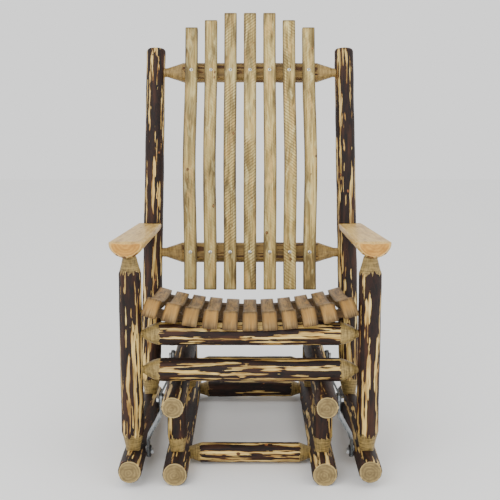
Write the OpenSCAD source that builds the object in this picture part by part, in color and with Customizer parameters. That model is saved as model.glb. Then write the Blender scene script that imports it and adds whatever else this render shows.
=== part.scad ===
// Rustic log glider rocker: a log chair that hangs from a floor base on four swinging links.
// Depth is counted backwards (+Y) from the line of the chair's front posts, and the whole
// model is then moved so that the origin is on the floor in the middle of its outline.

/* [Base] */
// Radius of the two floor runners of the base
base_runner_r = 31.5; // [28:0.5:34]
// Half of the distance between the base runners' centre lines
base_half_w = 187; // [175:1:190]
// Depth of the flat planed on the base runners' undersides, which the chair stands on
base_sole = 1.2; // [0.8:0.1:2]
// Depth of the base runners' front ends
base_front = -62; // [-80:1:-50]
// Depth of the base runners' rear ends
base_rear = 590; // [580:1:640]
// Height of the two upper rails' centre lines
base_rail_z = 203; // [195:1:206]
// Radius of the upper rails
base_rail_r = 29; // [26:0.5:31]
// Depth of the base's front short posts
base_post_front = 20; // [15:1:30]
// Depth of the base's rear short posts
base_post_rear = 490; // [470:1:500]
// Radius of the short posts
base_post_r = 25; // [22:0.5:28]
// Radius of the base's cross stretchers
stretcher_r = 25.5; // [22:0.5:27]

/* [Chair frame] */
// Half of the distance between the chair's side runners' centre lines
side_half_w = 298; // [294:1:312]
// Radius of the side runners
side_runner_r = 29.5; // [27:0.5:31]
// Height of the side runners' centre lines
side_runner_z = 45; // [43:1:50]
// Depth of the side runners' front ends
side_front = -78; // [-90:1:-60]
// Depth of the side runners' rear ends
side_rear = 468; // [450:1:500]
// Radius of the front posts
post_r = 28.5; // [26:0.5:31]
// Radius of the rear posts
rear_post_r = 29.5; // [27:0.5:31]
// Depth at which the rear posts' centre lines meet the side runners
rear_post_foot = 389; // [380:1:410]
// Backward lean of the rear posts, in degrees
back_lean = 12.5; // [9:0.5:15]
// Inward lean of the rear posts, in degrees
back_splay = 0.45; // [0:0.05:0.6]
// Height of the rear posts' tops
rear_post_top = 1094; // [1060:1:1180]

/* [Rails] */
// Radius of the chair's front rails
rail_r = 29; // [26:0.5:29]
// Height of the upper front rail
rail_upper_z = 375; // [370:1:380]
// Height of the lower front rail
rail_lower_z = 282; // [276:1:300]
// Height of the rail across the rear posts under the seat
seat_rail_z = 292; // [285:1:305]
// Radius of the two back rails
back_rail_r = 30.5; // [28:0.5:33]
// Height of the lower back rail
back_rail_lower_z = 482; // [470:1:520]
// Height of the upper back rail
back_rail_upper_z = 1022; // [980:1:1040]
// Half length of a rail's full round between its two pencil cones
rail_shoulder = 226; // [216:1:232]
// Half length of a back rail's full round
back_shoulder = 206; // [200:1:226]

/* [Arms] */
// Width of the arm's front end
arm_w = 90; // [80:1:100]
// Width of the arm's rear end
arm_rear_w = 76; // [64:1:80]
// How much further out the middle of the arm's rear end is than its front end
arm_flare = 6; // [0:1:8]
// Thickness of the arm along its middle
arm_t = 40; // [34:1:46]
// Height of the arm's flat top above the front posts
arm_top = 615; // [590:1:660]
// How far the arm reaches ahead of the front post
arm_overhang = 66; // [50:1:80]
// Fall of the arm towards the back, in degrees
arm_fall = 5.2; // [3:0.1:7]

/* [Seat] */
// Width of a slat
slat_w = 38; // [34:1:39]
// Thickness of a slat
slat_t = 20; // [17:0.5:20]
// Spacing of the seat slats, centre to centre, at the front
seat_pitch = 48; // [47:0.5:49]
// Narrower spacing at the back of the seat, as a share of the front one
seat_fan = 0.955; // [0.92:0.005:1]
// Height of the seat's crest above the floor, in the middle
seat_crest_z = 425; // [420:1:430]
// Radius of the seat's hollow from side to side
seat_hollow_r = 880; // [850:10:1200]

/* [Back] */
// Spacing of the back slats, centre to centre
back_pitch = 59.5; // [52:0.5:62]
// Height of the three middle back slats' tops
back_top = 1204; // [1180:1:1240]
// Drop of each further back slat's top below its inner neighbour's
back_step = 22; // [10:1:28]
// Height of the back slats' lower ends
back_bottom = 382; // [378:1:392]
// Forward bow of the back slats between their two rails
back_bow = 14; // [6:1:20]

/* [Links] */
// Distance between the two pivots of a link
link_l = 164; // [158:1:166]
// Width of a link's strap
link_w = 32; // [28:1:36]
// Thickness of a link's strap
link_t = 5; // [4:0.5:6]
// Depth of the front links' upper pivots
front_pivot = 2; // [-4:1:4]
// Depth of the chair's balance point, over which the links' lines meet
balance_y = 317; // [300:1:330]
// Diameter of the pivot bolts' smooth shanks
pivot_d = 10; // [8:0.5:12]
// Radial clearance between a bush and its pivot bolt
pivot_fit = 0.06; // [0.03:0.01:0.09]
// Radial clearance of the bushes' bores that the loop is opened at
open_fit = 2.4; // [2:0.1:3]

/* [Hidden] */
eps = 0.01;
fine = 64;
cone_slope = 0.345; // fall of a pencil cone's side per millimetre of its length
tenon_r = 13;
tip_r = 14;
end_break = 2;
contact = 0.05;

// Fasteners and bushes
bush_seat_r = 11;
bush_r = 15;
bush_l = 11;
washer_r = 13;
washer_t = 2;
head_r = 8.5;
head_h = 6;
lag_into = 25;
lag_r = 4;
screw_r = 2.2;
screw_head_r = 4.6;
spot_depth = 3;
spot_r = 21;
play = 0.3;

// Origin: the middle of the outline, front to back
lean = tan(back_lean);
post_top_round = 5;
outline_front = min(side_front, base_front, -arm_overhang - arm_t * sin(arm_fall));
outline_rear = max(
  base_rear,
  rear_post_foot + (rear_post_top - side_runner_z) * lean
    - post_top_round * sin(back_lean) + rear_post_r * cos(back_lean)
);
mid_y = (outline_front + outline_rear) / 2;

// Base: cross pieces stand a little behind the short posts
base_runner_z = base_runner_r - base_sole;
rail_half_w = base_half_w + 4;
stretcher_offset = 50;
stretcher_z = 30.5;
stretcher_half = 131;
cross_rail_z = 125;
base_post_foot = 97;
base_foot_r = 18;
base_tenon_depth = 9.5;

// Pivots of the links: the front link leans, and the rear one leans just enough that the
// lines of the two links meet straight below the chair's balance point
front_drop = base_rail_z - side_runner_z;
front_run = sqrt(link_l * link_l - front_drop * front_drop);
front_low_y = front_pivot + front_run;
front_lean = atan(front_run / front_drop);
meet_z = side_runner_z - (balance_y - front_low_y) * front_drop / front_run;
rear_low_y = rear_post_foot - 46;
rear_lean = atan((rear_low_y - balance_y) / (side_runner_z - meet_z));
rear_up_y = rear_low_y + link_l * sin(rear_lean);
rear_low_z = base_rail_z - link_l * cos(rear_lean);
upper_pivots = [[front_pivot, base_rail_z], [rear_up_y, base_rail_z]];
lower_pivots = [[front_low_y, side_runner_z], [rear_low_y, rear_low_z]];

// Sideways places of the links, from the bottoms of the spot faces that their washers lie in
bolt_grip = washer_t + bush_l + 2 * play;
flange_t = (bush_l - link_t) / 2;
up_seat_x = rail_half_w + base_rail_r - spot_depth;
low_seat_x = side_half_w - side_runner_r + spot_depth;
strap_up_x = up_seat_x + washer_t + play + flange_t;
strap_low_x = low_seat_x - washer_t - play - flange_t - link_t;

// Rear posts, back rails and slats follow one leaning line
function rear_y(z) = rear_post_foot + (z - side_runner_z) * lean;
function rear_x(z) = side_half_w - (z - side_runner_z) * tan(back_splay);
flat_depth = 8;
slat_back = back_rail_r - flat_depth;

// ---------------------------------------------------------------- building blocks

// Moves the model so that the origin is under the middle of its outline
module placed() {
  translate([0, -mid_y, 0]) children();
}

// Draws the child on the left (-1) or on the right (+1)
module on_side(side) {
  if (side < 0) mirror([1, 0, 0]) children();
  else children();
}

// A log along +Z from z0 to z1 with softly broken ends
module plain_log(r, z0, z1) {
  rotate_extrude($fn = fine)
    polygon([
      [0, z0], [r - end_break, z0], [r, z0 + end_break],
      [r, z1 - end_break], [r - end_break, z1], [0, z1]
    ]);
}

// A rail along X: full round for 2 * half, then a pencil cone and a tenon at both ends
module cone_rail(r, half, reach) {
  cone_end = half + (r - tip_r) / cone_slope;
  right = [[r, half], [tip_r, cone_end], [tenon_r, cone_end], [tenon_r, reach], [0, reach]];
  left = [for (i = [len(right) - 1 : -1 : 0]) [right[i][0], -right[i][1]]];
  rotate([0, 90, 0]) rotate_extrude($fn = fine) polygon(concat(left, right));
}

// A round bar along X from x0 to x1
module bar_x(r, x0, x1) {
  translate([x0, 0, 0]) rotate([0, 90, 0]) cylinder(r = r, h = x1 - x0, $fn = fine);
}

// ---------------------------------------------------------------- base

module base_runner(side) {
  color("#6b4a2b") placed() on_side(side) difference() {
    translate([base_half_w, 0, base_runner_z])
      rotate([-90, 0, 0]) plain_log(base_runner_r, base_front, base_rear);
    translate([0, base_front - 1, -base_runner_r])
      cube([2 * base_half_w, base_rear - base_front + 2, base_runner_r]);
    for (y = [base_post_front, base_post_rear]) {
      translate([base_half_w, y, 0]) base_post_solid();
      translate([0, y + stretcher_offset, stretcher_z]) base_stretcher_solid();
    }
  }
}

// Short post from the runner up to the rail: cone at the foot, tenons at both ends
module base_post_solid() {
  foot_tenon_r = base_foot_r - 2;
  foot_z = 52;
  shoulder_z = base_rail_z - 18;
  rotate_extrude($fn = fine)
    polygon([
      [0, base_tenon_depth + tenon_r], [foot_tenon_r, base_tenon_depth + tenon_r],
      [foot_tenon_r, foot_z], [base_foot_r, foot_z + 4],
      [base_post_r, base_post_foot], [base_post_r, shoulder_z],
      [tenon_r, shoulder_z + 2], [tenon_r, base_rail_z + 4], [0, base_rail_z + 4]
    ]);
}

module base_posts(y) {
  color("#5c3d22") placed() difference() {
    for (side = [-1, 1]) translate([side * base_half_w, y, 0]) base_post_solid();
    if (y == base_post_rear) translate([0, y, cross_rail_z]) cross_rail_solid();
  }
}

module base_stretcher_solid() {
  cone_rail(stretcher_r, stretcher_half, base_half_w - 11);
}

module cross_rail_solid() {
  cone_rail(stretcher_r + 1, stretcher_half, base_half_w - 9);
}

// Stretcher between the runners, just behind the short posts at depth y
module base_stretcher(y) {
  color("#7a5a35") placed() translate([0, y + stretcher_offset, stretcher_z]) base_stretcher_solid();
}

module base_rear_cross_rail() {
  color("#3d2a1c") placed() translate([0, base_post_rear, cross_rail_z]) cross_rail_solid();
}

module base_rail(side) {
  color("#5f4126") placed() on_side(side) difference() {
    translate([rail_half_w, 0, base_rail_z])
      rotate([-90, 0, 0]) plain_log(base_rail_r, base_front + 4, base_rear - 30);
    for (y = [base_post_front, base_post_rear])
      translate([base_half_w, y, 0]) base_post_solid();
    for (p = upper_pivots) translate([0, p[0], p[1]]) {
      bar_x(lag_r, up_seat_x - lag_into, up_seat_x + 1);
      bar_x(spot_r, up_seat_x, up_seat_x + 13);
    }
  }
}

// ---------------------------------------------------------------- pivots

// A lag bolt along +X: hexagon head, smooth shank in the bush and a thinner screwed part
module pivot_bolt() {
  translate([-head_h, 0, 0]) rotate([0, 90, 0]) cylinder(r = head_r, h = head_h, $fn = 6);
  bar_x(pivot_d / 2, 0, bolt_grip);
  bar_x(lag_r, bolt_grip, bolt_grip + lag_into);
}

module base_pivot_bolts() {
  color("silver") placed() for (side = [-1, 1], p = upper_pivots)
    on_side(side) translate([up_seat_x + bolt_grip, p[0], p[1]]) mirror([1, 0, 0]) pivot_bolt();
}

module chair_pivot_bolts() {
  color("silver") placed() for (side = [-1, 1], p = lower_pivots)
    on_side(side) translate([low_seat_x - bolt_grip, p[0], p[1]]) pivot_bolt();
}

module washer() {
  difference() {
    bar_x(washer_r, 0, washer_t);
    bar_x(pivot_d / 2, -1, washer_t + 1);
  }
}

module base_pivot_washers() {
  color("silver") placed() for (side = [-1, 1], p = upper_pivots)
    on_side(side) translate([up_seat_x, p[0], p[1]]) washer();
}

module chair_pivot_washers() {
  color("silver") placed() for (side = [-1, 1], p = lower_pivots)
    on_side(side) translate([low_seat_x - washer_t, p[0], p[1]]) washer();
}

// ---------------------------------------------------------------- links

// Strap hanging down from its upper pivot at the origin, stepped outwards on its way
module strap_solid() {
  joggle_top = -40;
  joggle_end = -link_l + 45;
  past = link_w;
  across = strap_low_x + link_t - strap_up_x + 2;
  difference() {
    intersection() {
      translate([0, link_w / 2, 0]) rotate([90, 0, 0]) linear_extrude(link_w)
        polygon([
          [strap_up_x, past], [strap_up_x, joggle_top], [strap_low_x, joggle_end],
          [strap_low_x, -link_l - past], [strap_low_x + link_t, -link_l - past],
          [strap_low_x + link_t, joggle_end], [strap_up_x + link_t, joggle_top],
          [strap_up_x + link_t, past]
        ]);
      union() {
        for (z = [0, -link_l]) translate([0, 0, z])
          bar_x(link_w / 2, strap_up_x - 1, strap_up_x - 1 + across);
        translate([strap_up_x - 1, -link_w / 2, -link_l]) cube([across, link_w, link_l]);
      }
    }
    for (z = [0, -link_l]) translate([0, 0, z])
      bar_x(bush_seat_r, strap_up_x - 1, strap_up_x - 1 + across);
  }
}

// Flanged bush of black nylon, pressed into the strap, along +X from x = 0
module bush(bore_r) {
  difference() {
    union() {
      bar_x(bush_seat_r, 0, bush_l);
      bar_x(bush_r, 0, flange_t);
      bar_x(bush_r, bush_l - flange_t, bush_l);
    }
    bar_x(bore_r, -1, bush_l + 1);
  }
}

// Puts a child, drawn hanging from the origin, at the front or the rear link's place
module at_link(side, rear) {
  p = upper_pivots[rear ? 1 : 0];
  placed() on_side(side)
    translate([0, p[0], p[1]]) rotate([rear ? -rear_lean : front_lean, 0, 0]) children();
}

module link(side, rear) {
  color("#55585c") at_link(side, rear) strap_solid();
}

// The loop of links is closed by the left front link; the other lower bushes are bored wider
module bushes(side, rear) {
  driven = side < 0 && !rear;
  color("#1c1c1e") at_link(side, rear) {
    translate([strap_up_x - flange_t, 0, 0]) bush(pivot_d / 2 + pivot_fit);
    translate([strap_low_x - flange_t, 0, -link_l])
      bush(pivot_d / 2 + (driven ? pivot_fit : open_fit));
  }
}

// ---------------------------------------------------------------- chair frame

// Front post: pencil cones at the foot and under the arm, tenons into runner and arm
module front_post_solid() {
  foot_r = 18;
  head_end_r = 17;
  foot_cone_top = side_runner_z + 74;
  arm_under = arm_top - arm_t;
  rotate_extrude($fn = fine)
    polygon([
      [0, side_runner_z - 16], [foot_r - 3, side_runner_z - 16],
      [foot_r - 3, side_runner_z + 21], [foot_r, side_runner_z + 25],
      [post_r, foot_cone_top], [post_r, arm_under - 46],
      [head_end_r, arm_under - 4], [head_end_r - 3, arm_under - 4],
      [head_end_r - 3, arm_under + 24], [0, arm_under + 24]
    ]);
}

module front_post(side) {
  color("#4d2f1f") placed() on_side(side) difference() {
    translate([side_half_w, 0, 0]) front_post_solid();
    for (z = [rail_lower_z, rail_upper_z]) translate([0, 0, z]) front_rail_solid();
  }
}

// Puts a child, drawn along +Z, on the right rear post's leaning line
module at_rear_post() {
  translate([side_half_w, rear_post_foot, side_runner_z])
    rotate([-back_lean, -back_splay, 0]) children();
}

// Rear post: z counts along the post from the side runner's centre line
module rear_post_solid() {
  foot_r = 18;
  top = (rear_post_top - side_runner_z) / cos(back_lean);
  at_rear_post() rotate_extrude($fn = fine)
    polygon([
      [0, -16], [foot_r - 3, -16], [foot_r - 3, 20], [foot_r, 24], [rear_post_r, 70],
      [rear_post_r, top - post_top_round], [rear_post_r - 6, top], [0, top + 1]
    ]);
}

module rear_post(side) {
  color("#4a2c1d") placed() on_side(side) difference() {
    rear_post_solid();
    for (z = [seat_rail_z, back_rail_lower_z, back_rail_upper_z])
      translate([0, rear_y(z), z]) back_rail_solid();
    arm_lag_screw();
  }
}

module side_runner(side) {
  color("#6b4a2b") placed() on_side(side) difference() {
    translate([side_half_w, 0, side_runner_z])
      rotate([-90, 0, 0]) plain_log(side_runner_r, side_front, side_rear);
    translate([side_half_w, 0, 0]) front_post_solid();
    rear_post_solid();
    for (p = lower_pivots) translate([0, p[0], p[1]]) {
      bar_x(lag_r, low_seat_x - 1, low_seat_x + lag_into);
      bar_x(spot_r, low_seat_x - 13, low_seat_x);
    }
  }
}

module front_rail_solid() {
  cone_rail(rail_r, rail_shoulder, side_half_w - 6);
}

// The upper front rail is notched for the seat's curved strip, its screws and the slats' noses
module front_rail(z) {
  color("#7a5a35") placed() difference() {
    translate([0, 0, z]) front_rail_solid();
    if (z == rail_upper_z) {
      seat_front_strip();
      all_seat_slats();
      all_slat_screws();
    }
  }
}

// Back rails and the seat's rear rail share one shape: full round, cones and tenons
module back_rail_solid() {
  cone_rail(back_rail_r, back_shoulder, side_half_w - 8);
}

// A back rail with the flat that the slats or the seat's board lie against
module flatted_rail(z) {
  translate([0, rear_y(z), z]) difference() {
    back_rail_solid();
    rotate([-back_lean, 0, 0])
      translate([-side_half_w, -slat_back - 2 * back_rail_r, -back_rail_r - 1])
        cube([2 * side_half_w, 2 * back_rail_r, 2 * back_rail_r + 2]);
  }
}

module back_rail(z) {
  color("#c9a86a") placed() difference() {
    flatted_rail(z);
    back_screws_at(z);
  }
}

module seat_rear_rail() {
  color("#7a5a35") placed() difference() {
    flatted_rail(seat_rail_z);
    support_screws_solid();
  }
}

// ---------------------------------------------------------------- arms

// D-shaped section: flat on top with eased corners, round below
module arm_section(w, t) {
  r = (w * w / 4 + t * t) / (2 * t);
  rotate(180) intersection() {
    translate([0, -t + r]) circle(r = r, $fn = fine);
    translate([-w / 2 + 2, -t]) square([w - 4, t]);
  }
}

// Arm: a half log that tapers to the back and is coped around the rear post
module arm_solid() {
  arm_len = rear_y(arm_top - arm_t) + arm_overhang;
  end_ease = 8;
  translate([side_half_w, 0, arm_top]) rotate([-arm_fall, 0, 0]) translate([0, -arm_overhang, 0])
    hull() {
      rotate([-90, 0, 0]) linear_extrude(eps) arm_section(arm_w - end_ease, arm_t - 5);
      translate([0, end_ease, 0]) rotate([-90, 0, 0]) linear_extrude(eps) arm_section(arm_w, arm_t);
      translate([arm_flare, arm_len, 0]) rotate([-90, 0, 0]) linear_extrude(eps)
        arm_section(arm_rear_w, arm_t - 4);
    }
}

module arm(side) {
  color("#c79c62") placed() on_side(side) difference() {
    arm_solid();
    translate([side_half_w, 0, 0]) front_post_solid();
    rear_post_cope();
    arm_lag_screw();
  }
}

// The rear post's round, a hair larger, and all that is behind it cut the arm's coped end
module rear_post_cope() {
  cope_z = 300;
  at_rear_post() translate([0, 0, cope_z]) {
    cylinder(r = rear_post_r + contact, h = 400, $fn = fine);
    translate([-80, 0, 0]) cube([160, 120, 400]);
  }
}

// Lag screw from behind the rear post into the arm's end
module arm_lag_screw() {
  z = arm_top - 19 - rear_y(arm_top) * tan(arm_fall);
  translate([rear_x(z), rear_y(z), z]) rotate([90 - arm_fall, 0, 0]) {
    translate([0, 0, -rear_post_r - 4]) cylinder(r = 8, h = 8, $fn = 6);
    translate([0, 0, -rear_post_r]) cylinder(r = lag_r, h = 2 * rear_post_r + 44, $fn = fine);
  }
}

module arm_lag_screws() {
  color("silver") placed() for (side = [-1, 1]) on_side(side) arm_lag_screw();
}

// ---------------------------------------------------------------- seat

// Upper line of a seat slat, front to back: a waterfall nose, a crest, a dip and a rise
seat_slats = 11;
seat_crest_y = 22;
seat_rear_y = 420;
seat_rear_drop = 72;
seat_dip = 15;
seat_hollow_rise = 5;
nose_y = -36;
nose_drop = 34;
slat_steps = 12;
nose_steps = 6;
function seat_line(y) =
  let (u = (y - seat_crest_y) / (seat_rear_y - seat_crest_y))
  -seat_rear_drop * u - seat_dip * sin(180 * u) + seat_hollow_rise * u * (1 - u);
// A point of the nose, turned a degrees from the crest, on the face that lies down below the top
function nose_point(a, down) = [
  seat_crest_y + (nose_y + down - seat_crest_y) * sin(a),
  -down - (nose_drop - down) * (1 - cos(a))
];
// The slat's line from nose to rear, on the face that lies down below the top
function slat_line(down) = concat(
  [for (i = [nose_steps : -1 : 1]) nose_point(i * 90 / nose_steps, down)],
  [for (i = [0 : slat_steps])
    let (y = seat_crest_y + (seat_rear_y - seat_crest_y) * i / slat_steps)
    [y, seat_line(y) - down]]
);
slat_upper = slat_line(0);
slat_lower = slat_line(slat_t);
slat_outline = concat(
  slat_upper, [for (i = [len(slat_lower) - 1 : -1 : 0]) slat_lower[i]]
);

// Puts a child on slat i: rolled on the hollow's radius and fanned about the crest
module at_seat_slat(i) {
  x = (i - (seat_slats - 1) / 2) * seat_pitch;
  fan = atan(x * (1 - seat_fan) / (seat_rear_y - seat_crest_y));
  translate([0, 0, seat_crest_z + seat_hollow_r]) rotate([0, -asin(x / seat_hollow_r), 0])
    translate([0, seat_crest_y, -seat_hollow_r]) rotate([0, 0, fan])
      translate([0, -seat_crest_y, 0]) children();
}

module seat_slat_solid() {
  translate([-slat_w / 2, 0, 0])
    rotate([90, 0, 90]) linear_extrude(slat_w) polygon(slat_outline);
}

module all_seat_slats() {
  for (i = [0 : seat_slats - 1]) at_seat_slat(i) seat_slat_solid();
}

module seat_slat(i) {
  color("#b08a58") placed() at_seat_slat(i) difference() {
    seat_slat_solid();
    slat_screws();
  }
}

// The seat's two boards, in depth: a curved strip behind the noses and an upright board
front_board_y = 17;
front_board_t = 16;
front_board_h = 21.5;
rear_board_y = 390;
board_t = 24;
pocket_tilt = 18;

// One slat's screws, driven from below: up through the strip, and out of a pocket in the
// upright board's front face
module slat_screw(len) {
  cylinder(r = screw_head_r, h = 3, $fn = fine);
  cylinder(r = screw_r, h = len, $fn = fine);
}

module at_front_screw() {
  head_proud = 0.4;
  translate([0, front_board_y, -slat_t - front_board_h - head_proud]) children();
}

module at_rear_screw() {
  head_inset = 5;
  head_below = slat_t + 18;
  translate([0, rear_board_y - board_t / 2 + head_inset, seat_line(rear_board_y) - head_below])
    rotate([-pocket_tilt, 0, 0]) children();
}

module slat_screws() {
  at_front_screw() slat_screw(32);
  at_rear_screw() slat_screw(30);
}

module all_slat_screws() {
  for (i = [0 : seat_slats - 1]) at_seat_slat(i) slat_screws();
}

module seat_screws() {
  color("silver") placed() all_slat_screws();
}

// Curved strip under the slats, behind their noses: both of its edges follow the hollow, and
// its upper one stands a hair below the slats where they bend
module seat_front_strip() {
  clear = 1;
  reach = 15;
  half_angle = asin(((seat_slats - 1) / 2 * seat_pitch + reach) / (seat_hollow_r + slat_t));
  start = 270 - half_angle;
  translate([0, front_board_y + front_board_t / 2, seat_crest_z + seat_hollow_r]) rotate([90, 0, 0])
    linear_extrude(front_board_t) difference() {
      polygon(concat([[0, 0]], [for (k = [0 : seat_slats])
        let (a = start + 2 * half_angle * k / seat_slats)
        1.2 * seat_hollow_r * [cos(a), sin(a)]]));
      difference() {
        circle(r = 2 * seat_hollow_r, $fn = 240);
        circle(r = seat_hollow_r + slat_t + front_board_h, $fn = 240);
      }
      circle(r = seat_hollow_r + slat_t + clear, $fn = 240);
    }
}

module seat_support_front() {
  color("#7d6340") placed() difference() {
    seat_front_strip();
    all_seat_slats();
    all_slat_screws();
  }
}

// Upright board on the rear rail's flat: its top edge follows the hollow of the seat
module seat_support_rear() {
  half = 250;
  z_low = seat_rail_z - 24;
  z_top = seat_crest_z - 81;
  r = seat_hollow_r + seat_crest_z - z_top;
  color("#4b3524") placed() difference() {
    translate([0, rear_board_y + board_t / 2, 0]) rotate([90, 0, 0])
      linear_extrude(board_t) difference() {
        translate([-half, z_low]) square([2 * half, seat_crest_z - 33 - z_low]);
        translate([0, z_top + r]) circle(r = r, $fn = 240);
      }
    all_seat_slats();
    all_slat_screws();
    for (i = [0 : seat_slats - 1]) at_seat_slat(i) at_rear_screw()
      translate([0, 0, -board_t]) cylinder(r = screw_head_r + 0.4, h = board_t, $fn = fine);
    support_screws_solid();
    flatted_rail(seat_rail_z);
  }
}

// Screws that hold the upright board on its rail's flat, their heads sunk into the board
module support_screws_solid() {
  for (x = [-150, 0, 150])
    translate([x, rear_board_y - board_t / 2, seat_rail_z]) rotate([-90, 0, 0]) {
      cylinder(r = 8, h = 3, $fn = fine);
      cylinder(r = lag_r, h = 67, $fn = fine);
    }
}

module support_screws() {
  color("silver") placed() support_screws_solid();
}

// ---------------------------------------------------------------- back

// The back slats lean with the posts. In their own frame z runs up the slat and y is depth:
// between the rails they bow forward, and above the upper rail they curve back. The slats'
// front faces stand ahead of the leaning line, which lifts their ends by slat_lift
back_slats = 7;
back_steps = 16;
slat_lift = (slat_back + slat_t) * sin(back_lean);
back_foot = (back_bottom - slat_lift - side_runner_z) / cos(back_lean);
rail_s = [for (z = [back_rail_lower_z, back_rail_upper_z]) (z - side_runner_z) / cos(back_lean)];
function back_x(i) = (i - (back_slats - 1) / 2) * back_pitch;
function back_head(i) =
  let (steps_out = max(0, abs(i - (back_slats - 1) / 2) - 1))
  (back_top - back_step * steps_out - slat_lift - side_runner_z) / cos(back_lean);
function bow(s) =
  let (u = (s - rail_s[0]) / (rail_s[1] - rail_s[0]))
  u > 1 ? 10 * (u - 1) : -4 * back_bow * u * (1 - u) * (u < 0 ? 0.4 : 1);
// One face of back slat i, which lies ahead of the leaning line, from foot to head
function back_face(i, ahead) = [
  for (k = [0 : back_steps])
    let (s = back_foot + (back_head(i) - back_foot) * k / back_steps)
    [bow(s) - ahead, s]
];

module back_slat_solid(i) {
  front = back_face(i, slat_back + slat_t);
  rear = back_face(i, slat_back);
  translate([back_x(i) - slat_w / 2, rear_post_foot, side_runner_z]) rotate([-back_lean, 0, 0])
    rotate([90, 0, 90]) linear_extrude(slat_w)
      polygon(concat(front, [for (k = [back_steps : -1 : 0]) rear[k]]));
}

module back_slat(i) {
  color("#bfa070") placed() difference() {
    back_slat_solid(i);
    for (z = [back_rail_lower_z, back_rail_upper_z]) {
      flatted_rail(z);
      back_screws_at(z);
    }
  }
}

// Screws of the back slats into the rail at height z, their heads flush in the slats
module back_screws_at(z) {
  into_rail = 24;
  for (i = [0 : back_slats - 1])
    translate([back_x(i), rear_y(z), z]) rotate([90 - back_lean, 0, 0]) {
      translate([0, 0, slat_back - into_rail])
        cylinder(r = screw_r, h = into_rail + slat_t, $fn = fine);
      translate([0, 0, slat_back + slat_t - 2]) cylinder(r = screw_head_r + 0.4, h = 3, $fn = fine);
    }
}

module back_screws() {
  color("silver") placed() for (z = [back_rail_lower_z, back_rail_upper_z]) back_screws_at(z);
}

// ---------------------------------------------------------------- nodes

base_runner(-1);  // base_runner_left
base_runner(1);  // base_runner_right
base_rail(-1);  // base_rail_left
base_rail(1);  // base_rail_right
base_posts(base_post_front);  // base_front_posts
base_posts(base_post_rear);  // base_rear_posts
base_stretcher(base_post_front);  // base_front_stretcher
base_stretcher(base_post_rear);  // base_rear_stretcher
base_rear_cross_rail();
base_pivot_bolts();
base_pivot_washers();
link(-1, false);  // link_front_left
link(1, false);  // link_front_right
link(-1, true);  // link_rear_left
link(1, true);  // link_rear_right
bushes(-1, false);  // bushes_front_left
bushes(1, false);  // bushes_front_right
bushes(-1, true);  // bushes_rear_left
bushes(1, true);  // bushes_rear_right
chair_pivot_bolts();
chair_pivot_washers();
side_runner(-1);  // side_runner_left
side_runner(1);  // side_runner_right
front_post(-1);  // front_post_left
front_post(1);  // front_post_right
rear_post(-1);  // rear_post_left
rear_post(1);  // rear_post_right
arm(-1);  // arm_left
arm(1);  // arm_right
arm_lag_screws();
front_rail(rail_upper_z);  // front_rail_upper
front_rail(rail_lower_z);  // front_rail_lower
seat_rear_rail();
back_rail(back_rail_lower_z);  // back_rail_lower
back_rail(back_rail_upper_z);  // back_rail_upper
seat_support_front();
seat_support_rear();
support_screws();
seat_slat(0);  // seat_slat_1
seat_slat(1);  // seat_slat_2
seat_slat(2);  // seat_slat_3
seat_slat(3);  // seat_slat_4
seat_slat(4);  // seat_slat_5
seat_slat(5);  // seat_slat_6
seat_slat(6);  // seat_slat_7
seat_slat(7);  // seat_slat_8
seat_slat(8);  // seat_slat_9
seat_slat(9);  // seat_slat_10
seat_slat(10);  // seat_slat_11
seat_screws();
back_slat(0);  // back_slat_1
back_slat(1);  // back_slat_2
back_slat(2);  // back_slat_3
back_slat(3);  // back_slat_4
back_slat(4);  // back_slat_5
back_slat(5);  // back_slat_6
back_slat(6);  // back_slat_7
back_screws();
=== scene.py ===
"""Looks of a log glider rocker: skip-peeled logs, sawn slats and zinc hardware."""

import logging
import math
from dataclasses import dataclass, field
from enum import Enum

import bpy
import numpy as np
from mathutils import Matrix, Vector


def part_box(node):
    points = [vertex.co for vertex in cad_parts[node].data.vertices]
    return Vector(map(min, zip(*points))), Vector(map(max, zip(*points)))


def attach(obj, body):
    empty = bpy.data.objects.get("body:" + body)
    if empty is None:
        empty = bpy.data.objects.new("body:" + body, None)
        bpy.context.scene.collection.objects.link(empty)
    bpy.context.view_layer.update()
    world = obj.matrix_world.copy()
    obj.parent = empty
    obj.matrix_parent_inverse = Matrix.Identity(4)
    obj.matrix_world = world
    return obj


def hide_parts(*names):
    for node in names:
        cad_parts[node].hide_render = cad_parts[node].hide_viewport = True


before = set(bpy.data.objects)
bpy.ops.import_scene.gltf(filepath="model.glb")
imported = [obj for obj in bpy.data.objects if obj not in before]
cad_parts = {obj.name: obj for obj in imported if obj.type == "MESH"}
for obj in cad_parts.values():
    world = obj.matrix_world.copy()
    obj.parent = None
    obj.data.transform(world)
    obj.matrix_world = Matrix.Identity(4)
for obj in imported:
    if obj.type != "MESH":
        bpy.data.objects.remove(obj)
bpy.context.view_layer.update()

MM = 0.001
LOG = logging.getLogger("glider")
TAU = 2.0 * math.pi
# values of the cone and knot fields that are far from any cone or knot
NO_CONE = -4.0
NO_KNOT = 4.0


# ---------------------------------------------------------------- numbers and noise


def node_box(node: str) -> tuple[np.ndarray, np.ndarray]:
    """Gives a CAD node's lowest and highest corners in millimetres.

    Args:
        node: The node's name.

    Returns:
        Two arrays of x, y and z.
    """
    low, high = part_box(node)
    return np.array(low) / MM, np.array(high) / MM


def smooth(value: np.ndarray, low: float, high: float) -> np.ndarray:
    """Eases from 0 at low to 1 at high: 3t^2 - 2t^3, with t held between 0 and 1."""
    t = np.clip((value - low) / (high - low), 0.0, 1.0)
    return t * t * (3.0 - 2.0 * t)


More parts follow.
